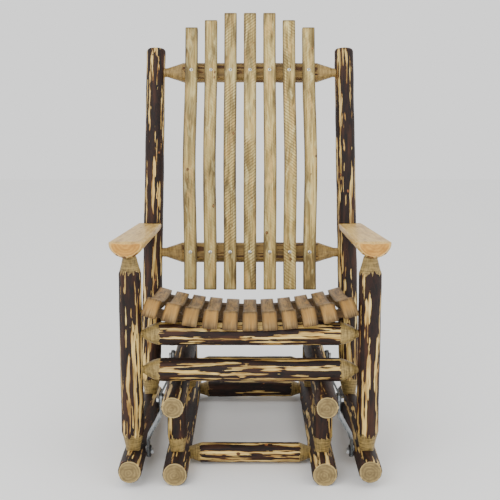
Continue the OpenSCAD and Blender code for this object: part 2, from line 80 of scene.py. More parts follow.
class Noise:
    """Seeded gradient noise in three dimensions, as whole arrays."""

    def __init__(self, seed: int) -> None:
        """Makes the table of hashed cells and the table of gradients.

        Args:
            seed: The seed of both tables.
        """
        rng = np.random.default_rng(seed)
        self.order = rng.permutation(256)
        ways = rng.normal(size=(256, 3))
        self.ways = ways / np.linalg.norm(ways, axis=1, keepdims=True)

    def plain(self, p: np.ndarray) -> np.ndarray:
        """Samples one octave: corner gradients dotted with offsets, blended with a smooth step.

        Args:
            p: Points, with x, y and z in the last axis.

        Returns:
            Values of about -1 to 1, with the shape of p less its last axis.
        """
        cell = np.floor(p).astype(int)
        t = p - cell
        ease = t * t * t * (t * (t * 6.0 - 15.0) + 10.0)
        total = np.zeros(p.shape[:-1])
        for corner in np.ndindex(2, 2, 2):
            at = (cell + corner) & 255
            code = self.order[at[..., 0]]
            code = self.order[(code + at[..., 1]) & 255]
            code = self.order[(code + at[..., 2]) & 255]
            weight = np.where(corner, ease, 1.0 - ease).prod(axis=-1)
            total += weight * (self.ways[code] * (t - corner)).sum(axis=-1)
        return total * 1.6

    def layered(self, p: np.ndarray, octaves: int = 3) -> np.ndarray:
        """Adds octaves, each twice as fine and half as strong as the one before.

        Args:
            p: Points, with x, y and z in the last axis.
            octaves: How many are added.

        Returns:
            The sum, with the shape of p less its last axis.
        """
        total = np.zeros(p.shape[:-1])
        for k in range(octaves):
            total += self.plain(p * 2.0**k + 17.3 * k) * 0.5**k
        return total


# ---------------------------------------------------------------- meshes


@dataclass
class Surface:
    """A closed surface: rings of points between two poles, with values that the finishes read."""

    rings: np.ndarray
    poles: np.ndarray
    fields: dict[str, np.ndarray] = field(default_factory=dict)

    def faces(self) -> list[tuple[int, ...]]:
        """Joins neighbouring rings with quads and closes both ends with triangles at the poles.

        Returns:
            Vertex numbers of each face: the quads ring by ring, the first end, the last end.
        """
        count, around = self.rings.shape[:2]
        j = np.arange(around)
        j_next = (j + 1) % around
        row = np.arange(count - 1)[:, None] * around
        quads = np.stack([row + j, row + j_next, row + around + j_next, row + around + j], axis=-1)
        last = (count - 1) * around
        start = np.stack([np.full(around, count * around), j_next, j], axis=-1)
        end = np.stack([np.full(around, count * around + 1), last + j, last + j_next], axis=-1)
        return [*quads.reshape(-1, 4).tolist(), *start.tolist(), *end.tolist()]

    def flat_field(self, name: str) -> np.ndarray:
        """Gives one field as a value per vertex: the rings' own, then the two poles'.

        Args:
            name: The field's name.

        Returns:
            One row per vertex, with one column, or three where the field is a vector.
        """
        ring_values, pole_values = self.fields[name]
        width = ring_values.shape[2:] or (1,)
        ends = np.reshape(pole_values, (2, *width))
        return np.concatenate([ring_values.reshape(-1, *width), ends])


def make_piece(name: str, surface: Surface, sharp_deg: float = 38.0) -> bpy.types.Object:
    """Puts a surface, given in millimetres, into a mesh object that sits at the origin.

    Args:
        name: The piece's name.
        surface: The rings, poles and fields.
        sharp_deg: Edges that turn further than this stay crisp.

    Returns:
        The new object.
    """
    points = np.concatenate([surface.rings.reshape(-1, 3), surface.poles]) * MM
    mesh = bpy.data.meshes.new(name)
    mesh.from_pydata(points.tolist(), [], surface.faces())
    mesh.shade_smooth()
    mesh.set_sharp_from_angle(angle=math.radians(sharp_deg))
    for label in surface.fields:
        values = surface.flat_field(label)
        vector = values.shape[1] == 3
        kind, slot = ("FLOAT_VECTOR", "vector") if vector else ("FLOAT", "value")
        data = mesh.attributes.new(label, kind, "POINT").data
        data.foreach_set(slot, np.ascontiguousarray(values, np.float32).ravel())
    mesh.update()
    piece = bpy.data.objects.new(name, mesh)
    bpy.context.scene.collection.objects.link(piece)
    return piece


# ---------------------------------------------------------------- colours and nodes


def linear(hex_colour: str) -> tuple[float, float, float, float]:
    """Turns an sRGB hex colour into linear red, green, blue and alpha."""
    channels = [int(hex_colour[i : i + 2], 16) / 255 for i in (1, 3, 5)]
    return (*[c / 12.92 if c <= 0.04045 else ((c + 0.055) / 1.055) ** 2.4 for c in channels], 1.0)


def add(tree: bpy.types.NodeTree, kind: str, inputs: dict | None = None,
        **settings: object) -> bpy.types.Node:
    """Adds a node, sets its properties and fills or links its inputs.

    Args:
        tree: The node tree.
        kind: The node's type without the "ShaderNode" in front.
        inputs: Values or output sockets, by the input's name or number.
        settings: Properties of the node.

    Returns:
        The new node.
    """
    node = tree.nodes.new("ShaderNode" + kind)
    for key, value in settings.items():
        setattr(node, key, value)
    for key, value in (inputs or {}).items():
        if isinstance(value, bpy.types.NodeSocket):
            tree.links.new(value, node.inputs[key])
        else:
            node.inputs[key].default_value = value
    return node


@dataclass
class Painter:
    """Builds one material's nodes: short names for what the finishes do again and again."""

    name: str

    def __post_init__(self) -> None:
        """Makes the material with only its output node."""
        self.material = bpy.data.materials.new(self.name)
        self.material.use_nodes = True
        self.tree = self.material.node_tree
        self.tree.nodes.clear()

    def read(self, label: str, output: str = "Fac") -> bpy.types.NodeSocket:
        """Reads one of the mesh's fields."""
        return add(self.tree, "Attribute", attribute_name=label).outputs[output]

    def spread(self, where: bpy.types.NodeSocket, cell_mm: tuple[float, float, float],
               detail: float = 3.0, distortion: float = 0.0) -> bpy.types.NodeSocket:
        """Noise with soft cells of a chosen size.

        Args:
            where: The coordinates, in metres.
            cell_mm: The length of a cell in x, y and z, in millimetres.
            detail: How many finer octaves are added.
            distortion: How far the cells are bent out of shape.

        Returns:
            The noise, of 0 to 1.
        """
        scale = tuple(1.0 / (MM * c) for c in cell_mm)
        mapped = add(self.tree, "Mapping", {"Vector": where, "Scale": scale}).outputs[0]
        made = add(self.tree, "TexNoise", {"Vector": mapped, "Scale": 1.0, "Detail": detail,
                                           "Roughness": 0.55, "Distortion": distortion})
        return made.outputs["Fac"]

    def remap(self, value: bpy.types.NodeSocket, low: float, high: float,
              to_low: float = 0.0, to_high: float = 1.0) -> bpy.types.NodeSocket:
        """Stretches low to high over to_low to to_high, and holds it there."""
        return add(self.tree, "MapRange", {"Value": value, "From Min": low, "From Max": high,
                                           "To Min": to_low, "To Max": to_high}).outputs[0]

    def math(self, operation: str, a: object, b: object = 0.0) -> bpy.types.NodeSocket:
        """One arithmetic step."""
        return add(self.tree, "Math", {0: a, 1: b}, operation=operation).outputs[0]

    def mix(self, factor: object, a: object, b: object, blend: str = "MIX") -> bpy.types.NodeSocket:
        """Mixes two colours.

        Args:
            factor: 0 for the first colour, 1 for the second.
            a: The first colour, as hex or as a socket.
            b: The second colour, as hex or as a socket.
            blend: How the second is laid over the first.

        Returns:
            The mixed colour.
        """
        ends = {6: a, 7: b}
        ends = {k: linear(v) if isinstance(v, str) else v for k, v in ends.items()}
        node = add(self.tree, "Mix", {0: factor, **ends}, data_type="RGBA", blend_type=blend)
        return node.outputs[2]

    def bump(self, height: bpy.types.NodeSocket, depth_mm: float,
             under: bpy.types.NodeSocket | None = None,
             strength: float = 1.0) -> bpy.types.NodeSocket:
        """Turns a height into relief.

        Args:
            height: The height, of 0 to 1.
            depth_mm: What a height of 1 stands for, in millimetres.
            under: Coarser relief that this one lies on.
            strength: How much of the relief shows.

        Returns:
            The surface's normal.
        """
        inputs = {"Height": height, "Distance": depth_mm * MM, "Strength": strength}
        if under is not None:
            inputs["Normal"] = under
        return add(self.tree, "Bump", inputs).outputs[0]

    def tint(self, colour: bpy.types.NodeSocket, low: float, high: float) -> bpy.types.NodeSocket:
        """Makes each piece darker or lighter as a whole, by its own tone of 0 to 1."""
        value = self.remap(self.read("tone"), 0.0, 1.0, low, high)
        return add(self.tree, "HueSaturation", {"Color": colour, "Value": value}).outputs[0]

    def finish(self, **sockets: object) -> bpy.types.Material:
        """Closes the material with a surface shader.

        Args:
            sockets: The shader's inputs by name, with an underscore for each space.

        Returns:
            The finished material.
        """
        named = {key.replace("_", " "): value for key, value in sockets.items()}
        shader = add(self.tree, "BsdfPrincipled", named)
        add(self.tree, "OutputMaterial", {"Surface": shader.outputs[0]})
        return self.material


# ---------------------------------------------------------------- finishes


@dataclass(frozen=True)
class SkipPeeledPine:
    """Pine log, peeled in skips by a drum and left with strips of bark, then clear coated.

    Dark flaky bark stands proud of long honey-coloured strips, with a reddish rim of inner bark
    between them. The turned cones are olive tan, with the cutter's ribs across them.
    """

    name: str
    bark: tuple[str, str, str] = ("#0d0604", "#26120a", "#452614")
    inner_bark: str = "#7a4a1e"
    wood: tuple[str, str, str] = ("#edd285", "#c49a4a", "#73561f")
    cone: tuple[str, str] = ("#a38a52", "#544423")
    knot: tuple[str, str] = ("#9a6234", "#2c170d")
    bark_roughness: float = 0.62
    wood_roughness: float = 0.48

    def build(self) -> bpy.types.Material:
        """Makes the material from the log's grain, bark, cone, knot and tone fields."""
        paint = Painter(self.name)
        grain = paint.read("grain", "Vector")
        # growth fibres are under 1 mm wide; they are drawn 3 mm wide, or they would not show
        fibre = paint.spread(grain, (3.0, 3.0, 75.0), 4.0)
        blotch = paint.spread(grain, (16.0, 16.0, 110.0), 3.0)
        flake = paint.spread(grain, (7.0, 7.0, 24.0), 5.0, 0.6)
        ragged = paint.math("ADD", paint.read("bark"), paint.remap(flake, 0.3, 0.7, -0.22, 0.22))
        is_bark = paint.remap(ragged, -0.02, 0.05)
        rim = paint.remap(ragged, -0.5, 0.0, 0.0, 0.95)

        wood = paint.mix(paint.remap(fibre, 0.3, 0.7), self.wood[0], self.wood[1])
        wood = paint.mix(paint.remap(blotch, 0.46, 0.66, 0.0, 0.85), wood, self.wood[2])
        stained = paint.math("MULTIPLY", rim, paint.remap(fibre, 0.35, 0.6))
        wood = paint.mix(stained, wood, self.inner_bark)
        bark = paint.mix(paint.remap(flake, 0.35, 0.65), self.bark[0], self.bark[1])
        bark = paint.mix(paint.remap(blotch, 0.48, 0.7, 0.0, 0.75), bark, self.bark[2])
        colour = paint.mix(is_bark, wood, bark)

        knot = paint.read("knot")
        uneven = paint.math("ADD", knot, paint.remap(flake, 0.0, 1.0, -0.2, 0.2))
        core = paint.mix(paint.remap(flake, 0.4, 0.6), self.knot[0], self.knot[1])
        core = paint.mix(paint.remap(uneven, 0.45, 0.6), core, self.knot[1])
        colour = paint.mix(paint.remap(uneven, 0.8, 0.62), colour, core)

        # the cone cutter leaves ribs about 3 mm apart, crossed by torn fibres
        ribs = paint.spread(grain, (30.0, 30.0, 3.2), 2.0)
        torn = paint.spread(grain, (3.6, 3.6, 30.0), 3.0)
        cut = paint.math("ADD", paint.math("MULTIPLY", ribs, 0.6),
                         paint.math("MULTIPLY", torn, 0.4))
        turned = paint.mix(paint.remap(cut, 0.34, 0.64), self.cone[1], self.cone[0])
        is_cone = paint.remap(paint.read("cone"), -0.04, 0.06)
        colour = paint.mix(is_cone, colour, turned)
        shade = paint.tint(colour, 0.86, 1.12)

        relief = paint.bump(fibre, 0.35, strength=0.8)
        relief = paint.bump(paint.math("MULTIPLY", flake, is_bark), 1.1, relief)
        relief = paint.bump(paint.math("MULTIPLY", cut, is_cone), 0.9, relief)
        rough = paint.remap(is_bark, 0.0, 1.0, self.wood_roughness, self.bark_roughness)
        return paint.finish(Base_Color=shade, Roughness=rough, Normal=relief,
                            Specular_IOR_Level=0.3)


@dataclass(frozen=True)
class SawnEndGrain:
    """The sawn end of a log or a slat: growth rings round a pith, saw lines and drying checks."""

    name: str
    wood: tuple[str, str, str] = ("#937d4d", "#4f3d1d", "#b9a26a")
    check: str = "#4a3319"
    pith_mm: tuple[float, float] = (2.0, -3.0)
    # rings of slow-grown pine are about 1.5 mm apart; drawn 7.5 mm apart, or they would not show
    ring_mm: float = 7.5

    def build(self) -> bpy.types.Material:
        """Makes the material from the grain, rim and tone fields."""
        paint = Painter(self.name)
        grain = paint.read("grain", "Vector")
        shift = (-self.pith_mm[0] * MM, -self.pith_mm[1] * MM, 0.0)
        disc = paint.read("disc", "Vector")
        flat = add(paint.tree, "Mapping", {"Vector": disc, "Location": shift,
                                           "Scale": (1.0, 1.0, 0.0)}).outputs[0]
        reach = add(paint.tree, "VectorMath", {0: flat}, operation="LENGTH").outputs["Value"]
        wander = paint.spread(grain, (14.0, 14.0, 300.0), 2.0)
        turns = paint.math("ADD", paint.math("MULTIPLY", reach, TAU / (self.ring_mm * MM)),
                           paint.math("MULTIPLY", wander, 9.0))
        ring = paint.remap(paint.math("SINE", turns), -1.0, 1.0)
        blotch = paint.spread(grain, (16.0, 16.0, 40.0), 3.0)
        colour = paint.mix(paint.math("MULTIPLY", ring, 0.45), self.wood[0], self.wood[1])
        colour = paint.mix(paint.remap(blotch, 0.45, 0.7, 0.0, 0.6), colour, self.wood[1])
        outer = paint.remap(paint.read("rim"), 0.88, 0.97, 0.0, 0.75)
        colour = paint.mix(outer, colour, self.wood[2])

        way = add(paint.tree, "VectorMath", {0: flat}, operation="NORMALIZE").outputs[0]
        spoke = add(paint.tree, "TexNoise", {"Vector": way, "Scale": 4.5,
                                             "Detail": 1.0}).outputs["Fac"]
        crack = paint.math("MULTIPLY", paint.remap(spoke, 0.66, 0.7),
                           paint.remap(reach, 0.018, 0.006))
        colour = paint.mix(crack, colour, self.check)
        saw = paint.spread(grain, (60.0, 2.4, 60.0), 2.0)
        colour = paint.mix(paint.remap(saw, 0.45, 0.7, 0.0, 0.3), colour, self.wood[1])
        shade = paint.tint(colour, 0.88, 1.1)
        relief = paint.bump(saw, 0.5, paint.bump(ring, 0.25))
        return paint.finish(Base_Color=shade, Roughness=0.66, Normal=relief)


@dataclass(frozen=True)
class SawnPineStrip:
    """Pine strip, band sawn and lightly sanded, then clear coated.

    Pale olive-tan wood with long soft grain, and the blade's chatter marks slanting across it in
    places. Painted shade darkens the eased corners, the ends, the flanks and the bends, and
    painted light brightens the noses.
    """

    name: str
    wood: tuple[str, str, str] = ("#d3bc78", "#8e753c", "#584620")
    warm: str = "#d3ae66"
    pale: str = "#decd8f"
    # colour of the painted shade on the corners, ends, flanks and bends
    edge: str = "#453416"
    knot: tuple[str, str] = ("#a8763f", "#3c2413")
    chatter: float = 0.6
    roughness: float = 0.56

    def build(self) -> bpy.types.Material:
        """Makes the material from the grain, saw, edge, knot and tone fields."""
        paint = Painter(self.name)
        grain = paint.read("grain", "Vector")
        fibre = paint.spread(grain, (2.6, 2.6, 90.0), 4.0)
        cloud = paint.spread(grain, (20.0, 20.0, 130.0), 3.0, 0.4)
        warmth = paint.spread(grain, (14.0, 14.0, 70.0), 2.0, 0.8)
        # painted highlights: pale patches where this noise is high, standing in for sheen
        shine = paint.spread(grain, (12.0, 12.0, 55.0), 3.0, 0.6)
        colour = paint.mix(paint.remap(fibre, 0.36, 0.64), self.wood[0], self.wood[1])
        colour = paint.mix(paint.remap(cloud, 0.44, 0.64, 0.0, 0.85), colour, self.wood[2])
        colour = paint.mix(paint.remap(warmth, 0.5, 0.7, 0.0, 0.7), colour, self.warm)
        colour = paint.mix(paint.remap(shine, 0.52, 0.68, 0.0, 0.65), colour, self.pale)
        # painted light: the noses' lit front faces are painted lighter and warmer than the flats
        # behind
        sanded = paint.math("MULTIPLY", paint.read("nose"), paint.remap(fibre, 0.3, 0.6, 0.2, 0.65))
        colour = paint.mix(sanded, colour, self.warm)

        # the blade's marks are about 2 mm apart; every fourth one is drawn, or they would not show
        wobble = paint.spread(grain, (9.0, 9.0, 30.0), 2.0)
        turns = paint.math("ADD", paint.math("MULTIPLY", paint.read("saw"), TAU / (8.0 * MM)),
                           paint.math("MULTIPLY", wobble, 5.0))
        mark = paint.remap(paint.math("SINE", turns), 0.0, 0.8)
        where = paint.remap(paint.spread(grain, (60.0, 60.0, 120.0), 2.0), 0.4, 0.55)
        depth = paint.math("MULTIPLY", paint.read("sawn"), self.chatter)
        marked = paint.math("MULTIPLY", paint.math("MULTIPLY", mark, where), depth)
        colour = paint.mix(marked, colour, self.wood[2])

        flake = paint.spread(grain, (5.0, 5.0, 14.0), 3.0)
        uneven = paint.math("ADD", paint.read("knot"), paint.remap(flake, 0.0, 1.0, -0.25, 0.25))
        core = paint.mix(paint.remap(uneven, 0.35, 0.7), self.knot[0], self.knot[1])
        colour = paint.mix(paint.remap(uneven, 0.95, 0.7), colour, core)
        # painted shade: darker towards the corners, the ends, the flanks and the bend behind the
        # nose
        painted_edge_shade = paint.math("MULTIPLY", paint.read("edge"), paint.remap(fibre, 0.2, 0.7, 0.5, 0.95))
        colour = paint.mix(painted_edge_shade, colour, self.edge)
        shade = paint.tint(colour, 0.78, 1.16)
        relief = paint.bump(fibre, 0.3, strength=0.7)
        relief = paint.bump(marked, 0.5, relief)
        return paint.finish(Base_Color=shade, Roughness=self.roughness, Normal=relief,
                            Specular_IOR_Level=0.35)


@dataclass(frozen=True)
class SawnBoard:
    """Plain sawn board under the seat, dark brown with painted shade: grain runs across the chair.
    """

    name: str
    wood: tuple[str, str] = ("#6b4f28", "#3d2a13")

    def build(self) -> bpy.types.Material:
        """Makes the material on the part's own coordinates."""
        paint = Painter(self.name)
        place = add(paint.tree, "TexCoord").outputs["Object"]
        fibre = paint.spread(place, (110.0, 3.0, 3.0), 4.0)
        cloud = paint.spread(place, (90.0, 30.0, 22.0), 3.0)
        saw = paint.spread(place, (3.0, 60.0, 60.0), 2.0)
        colour = paint.mix(paint.remap(fibre, 0.32, 0.68), *self.wood)
        colour = paint.mix(paint.remap(cloud, 0.5, 0.72, 0.0, 0.6), colour, self.wood[1])
        relief = paint.bump(saw, 0.3, paint.bump(fibre, 0.4))
        return paint.finish(Base_Color=colour, Roughness=0.68, Normal=relief)


@dataclass(frozen=True)
class Hardware:
    """A plain metal or plastic: its colour and gloss vary in small clouds, over a fine relief."""

    name: str
    shades: tuple[str, str]
    metallic: float
    gloss: tuple[float, float]
    cloud_mm: float
    relief_mm: float
    grit_mm: float

    def build(self) -> bpy.types.Material:
        """Makes the material on the part's own coordinates."""
        paint = Painter(self.name)
        place = add(paint.tree, "TexCoord").outputs["Object"]
        cloud = paint.spread(place, (self.cloud_mm,) * 3, 4.0, 0.5)
        grit = paint.spread(place, (self.grit_mm,) * 3, 2.0)
        colour = paint.mix(paint.remap(cloud, 0.35, 0.65), *self.shades)
        rough = paint.remap(cloud, 0.3, 0.7, *self.gloss)
        relief = paint.bump(grit, self.relief_mm)
        return paint.finish(Base_Color=colour, Metallic=self.metallic, Roughness=rough,
                            Normal=relief)


class Finish(Enum):
    """Every finish on the chair, by what it is on."""

    # peeled drum logs with about two thirds of their bark: dark, with bright strips
    BARK_LOG = SkipPeeledPine("skip_peeled_pine_log")
    # logs peeled by hand almost clean: tan wood, with bark left only in the low places
    PEELED_LOG = SkipPeeledPine(
        "hand_peeled_pine_log",
        bark=("#3b2412", "#5b3b1e", "#7a5530"),
        inner_bark="#94703c",
        wood=("#a98a4c", "#86682f", "#5f4820"),
        cone=("#ab8d52", "#66502a"),
    )
    # half log, planed flat and sanded: the palest wood on the chair
    PLANED_LOG = SkipPeeledPine(
        "planed_half_log_pine",
        bark=("#4a2c14", "#6e4622", "#8d6536"),
        inner_bark="#b07c42",
        wood=("#dcbb72", "#c0984c", "#a37a36"),
        wood_roughness=0.42,
    )
    # end of a log, crosscut and left rough: duller and darker than the wood along the log
    LOG_END = SawnEndGrain("sawn_pine_log_end")
    # end of an arm, sanded and clear coated: orange, with its pith low in the half log
    ARM_END = SawnEndGrain("sanded_pine_arm_end", wood=("#cc953c", "#9a6520", "#e0b96c"),
                           pith_mm=(0.0, 4.0), ring_mm=8.0)
    # end of a strip, cut well away from the pith: a few long flat rings
    SLAT_END = SawnEndGrain("sawn_pine_strip_end", wood=("#997d45", "#73592b", "#957a42"),
                            pith_mm=(34.0, -26.0), ring_mm=4.5)
    # strips of the back, sawn and clear coated: yellow, with painted shade darkening the arrises,
    # and faint saw marks
    BACK_STRIP = SawnPineStrip("sawn_pine_back_strip")
    # strips of the seat: browner and darker than those of the back, with near-black painted shade
    # at the arrises
    SEAT_STRIP = SawnPineStrip(
        "sawn_pine_seat_strip",
        wood=("#a08250", "#684c25", "#443016"),
        warm="#b0823c",
        pale="#ac8a50",
        # colour of the painted shade at the seat strips' corners, ends, flanks and bends
        edge="#2c1c08",
        chatter=0.3,
    )
    # the curved strip and the upright board, rough sawn and never coated: flat, and dark with
    # painted shade
    FRONT_BOARD = SawnBoard("sawn_pine_strip_board", wood=("#6e4e20", "#3f2a0f"))
    REAR_BOARD = SawnBoard("sawn_pine_rear_board")
    # electroplated zinc with a clear passivation: bright, slightly blue and cloudy
    ZINC = Hardware("zinc_plated_steel", ("#d3d6d8", "#aeb3b8"), 1.0, (0.24, 0.42),
                    cloud_mm=4.0, relief_mm=0.02, grit_mm=0.6)
    # hot rolled strap, tumbled and zinc coated: grey and duller than the bolts
    STRAP = Hardware("coated_steel_strap", ("#8f9395", "#6a6f72"), 1.0, (0.34, 0.55),
                     cloud_mm=9.0, relief_mm=0.06, grit_mm=1.2)
    # the recess in a screw's head is painted near black: painted shade, with some dirt
    RECESS = Hardware("dirty_and_shaded_screw_recess", ("#191817", "#2b2926"), 0.6, (0.55, 0.7),
                      cloud_mm=1.2, relief_mm=0.03, grit_mm=0.5)
    # injection moulded black nylon: satin, with a fine spark-eroded grain
    NYLON = Hardware("moulded_black_nylon", ("#141415", "#202022"), 0.0, (0.38, 0.5),
                     cloud_mm=6.0, relief_mm=0.03, grit_mm=0.5)

    @property
    def material(self) -> bpy.types.Material:
        """The finish's material, built the first time that it is asked for."""
        return bpy.data.materials.get(self.value.name) or self.value.build()


def sawn_end_faces(rows: int, cap_rows: int, around: int) -> np.ndarray:
    """Marks with ones the faces of a surface's ends: its first and last rows, and both poles.

    Args:
        rows: How many rows of faces there are between the rings.
        cap_rows: How many of them lie in each end.
        around: How many faces are in a row.

    Returns:
        One number for each face, in the order of Surface.faces.
    """
    row = np.zeros(rows, int)
    row[:cap_rows] = row[rows - cap_rows:] = 1
    return np.concatenate([np.repeat(row, around), np.ones(2 * around, int)])


def dress(piece: bpy.types.Object, finishes: list[Finish], body: str, node: str,
          second_faces: np.ndarray) -> None:
    """Gives a piece its materials and says what it is in the frame.

    Args:
        piece: The object.
        finishes: The finish of the sides, and that of the ends or the recess.
        body: The CAD body that the piece rides on.
        node: The CAD node that the piece replaces.
        second_faces: Which faces take the second finish, as ones and zeros.
    """
    for finish in finishes:
        piece.data.materials.append(finish.material)
    piece.data.polygons.foreach_set("material_index", second_faces.astype(np.int32))
    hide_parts(node)
    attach(piece, body)


# ---------------------------------------------------------------- logs


@dataclass
class Log:
    """One log with turned or sawn ends, whose skin is bark in strips.

    All places and sizes are in millimetres. The profile is a list of (distance along the axis,
    radius), and the turned lists say where each cone's shoulder is and which way it points.
    """

    name: str
    node: str
    body: str
    slot: str
    start: tuple[float, float, float]
    end: tuple[float, float, float]
    profile: list[tuple[float, float]]
    turned: list[tuple[float, int]]
    seed: int
    bark_share: float = 0.68
    petal_mm: float = 9.0
    flat_ahead: float | None = None
    finish: Finish = Finish.BARK_LOG
    up: tuple[float, float, float] = (0.0, 0.0, 1.0)
    around: int = 96
    step: float = 3.4

    def frame(self) -> tuple[np.ndarray, np.ndarray, np.ndarray, np.ndarray]:
        """Works out the log's own directions: cross products of up with the axis.

        Returns:
            The start, the two cross directions and the axis direction.
        """
        start, end = np.array(self.start, float), np.array(self.end, float)
        axis = (end - start) / np.linalg.norm(end - start)
        first = np.cross(np.array(self.up, float), axis)
        if np.linalg.norm(first) < 0.1:
            first = np.cross(np.array([0.0, 1.0, 0.0]), axis)
        first /= np.linalg.norm(first)
        return start, first, np.cross(axis, first), axis

    def surface(self) -> tuple[Surface, np.ndarray]:
        """Turns the profile about the axis, then adds facets, waves, knots and bark.

        radius(s, a) = profile(s) * (1 + facets) + waves + bark, faded out on the cones' tips.

        Returns:
            The surface, and which faces belong to the sawn ends.
        """
        start, first, second, axis = self.frame()
        noise, rng = Noise(self.seed), np.random.default_rng(self.seed)
        stations, radii = np.array(self.profile, float).T
        inner = np.arange(stations[0] + self.step, stations[-1], self.step)
        s = np.unique(np.round(np.concatenate([inner, stations]), 2))
        s = s[np.concatenate([[True], np.diff(s) > 0.6])]
        r = np.interp(s, stations, radii)
        cap = np.array([0.12, 0.3, 0.5, 0.68, 0.82, 0.91, 0.965])
        s_all = np.concatenate([np.full(len(cap), s[0]), s, np.full(len(cap), s[-1])])
        r_all = np.concatenate([r[0] * cap, r, r[-1] * cap[::-1]])
        rim = np.concatenate([cap, np.ones(len(s)), cap[::-1]])
        a = np.arange(self.around) * TAU / self.around
        ca, sa = np.cos(a)[None, :], np.sin(a)[None, :]
        along, base = s_all[:, None] * np.ones_like(ca), r_all[:, None] * np.ones_like(ca)
        big = float(np.max(radii))

        # the skin: how far past each cone's shoulder, with petals of bark left on it
        wave = noise.plain(np.stack([ca * 2.1, sa * 2.1, 0.0 * ca + 3.7], -1))
        comb = np.abs(((a[None, :] / TAU * round(TAU * big / 17.0) + 1.3 * wave) % 1.0) - 0.5) * 2.0
        cone = np.full_like(along, NO_CONE)
        for shoulder, way in self.turned:
            ragged = noise.plain(np.stack([ca * 4, sa * 4, 0 * ca + way], -1))
            edge = self.petal_mm * comb + 3.0 * ragged
            cone = np.maximum(cone, ((along - shoulder) * way - edge + 3.0) / 6.0)

        def over(round_mm: float, long_mm: float, shift: float) -> np.ndarray:
            """Noise on the log's skin, in cells of those sizes round it and along it."""
            k = big / round_mm
            return noise.layered(np.stack([k * ca + 0 * along, k * sa + 0 * along,
                                           along / long_mm + shift], -1), 2)

        # long strips, shorter and finer ones, and broad areas with more or less bark
        patches = over(11.5, 190.0, 0.0) + 0.65 * over(6.0, 80.0, 31.0)
        patches = patches + 0.45 * over(42.0, 360.0, 57.0)
        patches += 0.35 * over(3.2, 34.0, 83.0)
        bark = (patches - np.quantile(patches, 1.0 - self.bark_share)) * 1.6
        bark = np.minimum(bark, -cone * 2.0)

        # knots: rings of swelling, spread at random over the skin
        knot = np.full_like(along, NO_KNOT)
        for _ in range(2 + int((stations[-1] - stations[0]) / 110.0)):
            at, turn = rng.uniform(stations[0], stations[-1]), rng.uniform(0.0, TAU)
            size = rng.uniform(3.0, 6.5)
            off = np.angle(np.exp(1j * (a[None, :] - turn))) * big
            knot = np.minimum(knot, np.hypot(off / size, (along - at) / (1.35 * size)))
        knot = np.where(cone > 0.0, NO_KNOT, knot)

        skin = np.where(rim[:, None] < 1.0, 0.0, smooth(base, 0.55 * big, 0.8 * big))
        facets = 0.012 * over(30.0, 520.0, 11.0) + 0.006 * over(9.0, 300.0, 23.0)
        grown = 0.8 * over(60.0, 95.0, 41.0) + 0.7 * smooth(bark, -0.1, 0.35) - 0.7
        grown += 1.5 * np.exp(-1.2 * knot**2) + 0.25 * over(4.0, 14.0, 67.0)
        radius = base * (1.0 + facets * smooth(base, 0.3 * big, 0.8 * big)) + grown * skin
        ribs = np.where(cone > 0.3, 0.22 * over(12.0, 4.0, 91.0), 0.0)
        radius += ribs * np.minimum(skin + 0.4, 1.0)
        # the sawn ends keep the outline of the first ring of the skin
        n = len(cap)
        for ring, caps in ((n, slice(0, n)), (len(s_all) - n - 1, slice(len(s_all) - n, None))):
            radius[caps] = radius[ring] * rim[caps, None]
        u, v = radius * ca, radius * sa
        if self.flat_ahead is not None:
            v = np.maximum(v, -self.flat_ahead)
        rings = (start + u[..., None] * first + v[..., None] * second
                 + along[..., None] * axis)
        poles = np.stack([start + s[0] * axis, start + s[-1] * axis])
        offset = rng.uniform(-5.0, 5.0, 3)
        grain = np.stack([u, v, along], -1) * MM + offset
        pole_grain = np.array([[0, 0, s[0]], [0, 0, s[-1]]]) * MM + offset
        local = np.stack([u, v, 0.0 * along], -1) * MM
        tone = np.full_like(along, rng.uniform(0.2, 0.8))
        plain = np.zeros((2, 1))
        fields = {
            "grain": (grain, pole_grain),
            "disc": (local, np.zeros((2, 3))),
            "bark": (bark, plain),
            "cone": (cone, plain),
            "knot": (knot, plain + NO_KNOT),
            "tone": (tone, np.full((2, 1), tone[0, 0])),
            "rim": (rim[:, None] * np.ones_like(ca), plain),
        }
        return Surface(rings, poles, fields), sawn_end_faces(len(s_all) - 1, n, self.around)

    def build(self) -> bpy.types.Object:
        """Builds the log, dresses it and puts it in the frame."""
        surface, cap_faces = self.surface()
        piece = make_piece(self.name, surface)
        dress(piece, [self.finish, Finish.LOG_END], self.body, self.node, cap_faces)
        return piece


def sawn(low: float, high: float, radius: float) -> list[tuple[float, float]]:
    """Profile of a plain log with chamfered sawn ends, tapering a little to the far end."""
    return [(low, radius - 2.2), (low + 2.4, radius - 0.2), (low + 40, radius),
            (high - 40, 0.985 * radius), (high - 2.4, 0.98 * radius), (high, 0.98 * radius - 2.2)]


def coned(half: float, radius: float, reach: float, tip: float = 14.0,
          slope: float = 0.345, ogive: float = 0.0) -> list[tuple[float, float]]:
    """Profile of a rail whose ends are turned to cones, from -reach to reach.

    The radius falls from the shoulder by slope per millimetre. An ogive starts shallower: with t
    from 0 at the shoulder to 1 at the tip, the fall is t - ogive * t * (1 - t) of the whole.

    Args:
        half: Where the shoulder is, from the middle.
        radius: The log's radius.
        reach: Where the rail ends, inside the next log.
        tip: The cone's radius at its tip.
        slope: The fall of the radius for each millimetre along.
        ogive: How much shallower the cone starts.

    Returns:
        Pairs of place and radius, from one end to the other.
    """
    run = (radius - tip) / slope
    t = np.linspace(0.0, 1.0, 9)
    fall = t - ogive * t * (1.0 - t)
    side = [(half + run * float(k), radius - (radius - tip) * float(f)) for k, f in zip(t, fall)]
    side = [p for p in side if p[0] < reach - 1.0] + [(reach, min(tip, 13.0))]
    return [(-d, r) for d, r in reversed(side)] + side


# ---------------------------------------------------------------- sawn strips and arms


